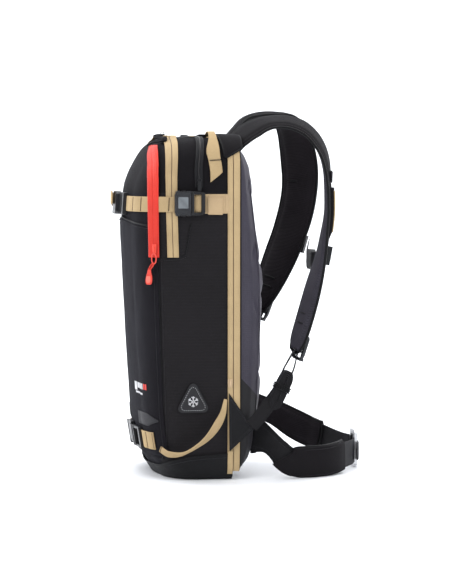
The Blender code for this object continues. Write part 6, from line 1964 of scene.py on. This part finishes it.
o = new_object("folded_bladder", verts, faces, M_BLADDER, sharp=None)
ride(o, "pack")
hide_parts("airbag_bladder")
bevelled("gas_cylinder", M_CYL, 0.0004)
bevelled("inflator_valve", M_METAL, 0.0010, 3)
bevelled("valve_pin", M_METAL, 0.0003)
tc = tube("trigger_line", [(-0.042, -0.078, 0.3025), (-0.025, -0.085, 0.3035), (-0.006, -0.096, 0.3060), (0.004, -0.108, 0.345), (0.012, -0.108, 0.410), (0.030, -0.092, 0.4620)], 0.0024, M_PLASTIC_BLACK, 10, n=40)
ride(tc, "pack")
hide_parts("trigger_cable")

# ------------------------------------------------------------------ floor and light
verts, faces = [], []
prof = [(-7.0, 0.0), (2.2, 0.0)] + [(2.2 + 1.6 * math.sin(a), 1.6 - 1.6 * math.cos(a)) for a in [pi / 2 * k / 14 for k in range(1, 15)]] + [(3.8, 6.0)]
for y, z in prof:
    verts += [Vector((-6, y, z - 0.0002)), Vector((6, y, z - 0.0002))]
faces = [(2 * i, 2 * i + 1, 2 * i + 3, 2 * i + 2) for i in range(len(prof) - 1)]
g = Graph("studio_paper")
oc = g.coords("Object")
base_c = g.mix(g.noise(oc, 3.0, 2.0), (0.86, 0.875, 0.90), (0.88, 0.89, 0.91))
g.finish(base_c, 0.5, g.bump(g.noise(oc, 300.0, 2.0), 0.00005, 0.3), Specular_IOR_Level=0.35)
floor = new_object("studio_floor", verts, faces, g.mat, sharp=None)


def area(name, loc, target, size, power, colour=(1, 1, 1)):
    li = bpy.data.lights.new(name, "AREA")
    li.shape = "RECTANGLE"
    li.size, li.size_y = size
    li.energy = power
    li.color = colour
    ob = bpy.data.objects.new(name, li)
    scene.collection.objects.link(ob)
    ob.location = loc
    ob.rotation_euler = (Vector(target) - Vector(loc)).to_track_quat("-Z", "Y").to_euler()
    return ob


area("key", (-1.9, -2.3, 1.9), (0.0, 0.0, 0.25), (1.6, 1.8), 47, (1.0, 0.99, 0.98))
area("fill", (2.1, -1.9, 1.1), (0.1, 0.0, 0.25), (1.4, 1.8), 22, (0.96, 0.98, 1.0))
area("top", (0.1, -0.2, 2.6), (0.05, 0.0, 0.3), (2.0, 2.0), 36)
area("rim", (-1.6, 1.5, 1.3), (0.0, 0.0, 0.3), (1.0, 1.6), 26, (0.97, 0.98, 1.0))
area("rim_b", (1.9, 1.4, 1.2), (0.15, 0.0, 0.3), (1.0, 1.6), 22, (1.0, 0.98, 0.98))
area("backdrop", (0.0, 1.0, 3.4), (0.0, 3.6, 1.2), (4.0, 1.5), 150)
world = bpy.data.worlds.new("studio")
scene.world = world
world.use_nodes = True
bg = world.node_tree.nodes["Background"]
bg.inputs[0].default_value = (0.93, 0.96, 1.0, 1.0)
bg.inputs[1].default_value = 0.66
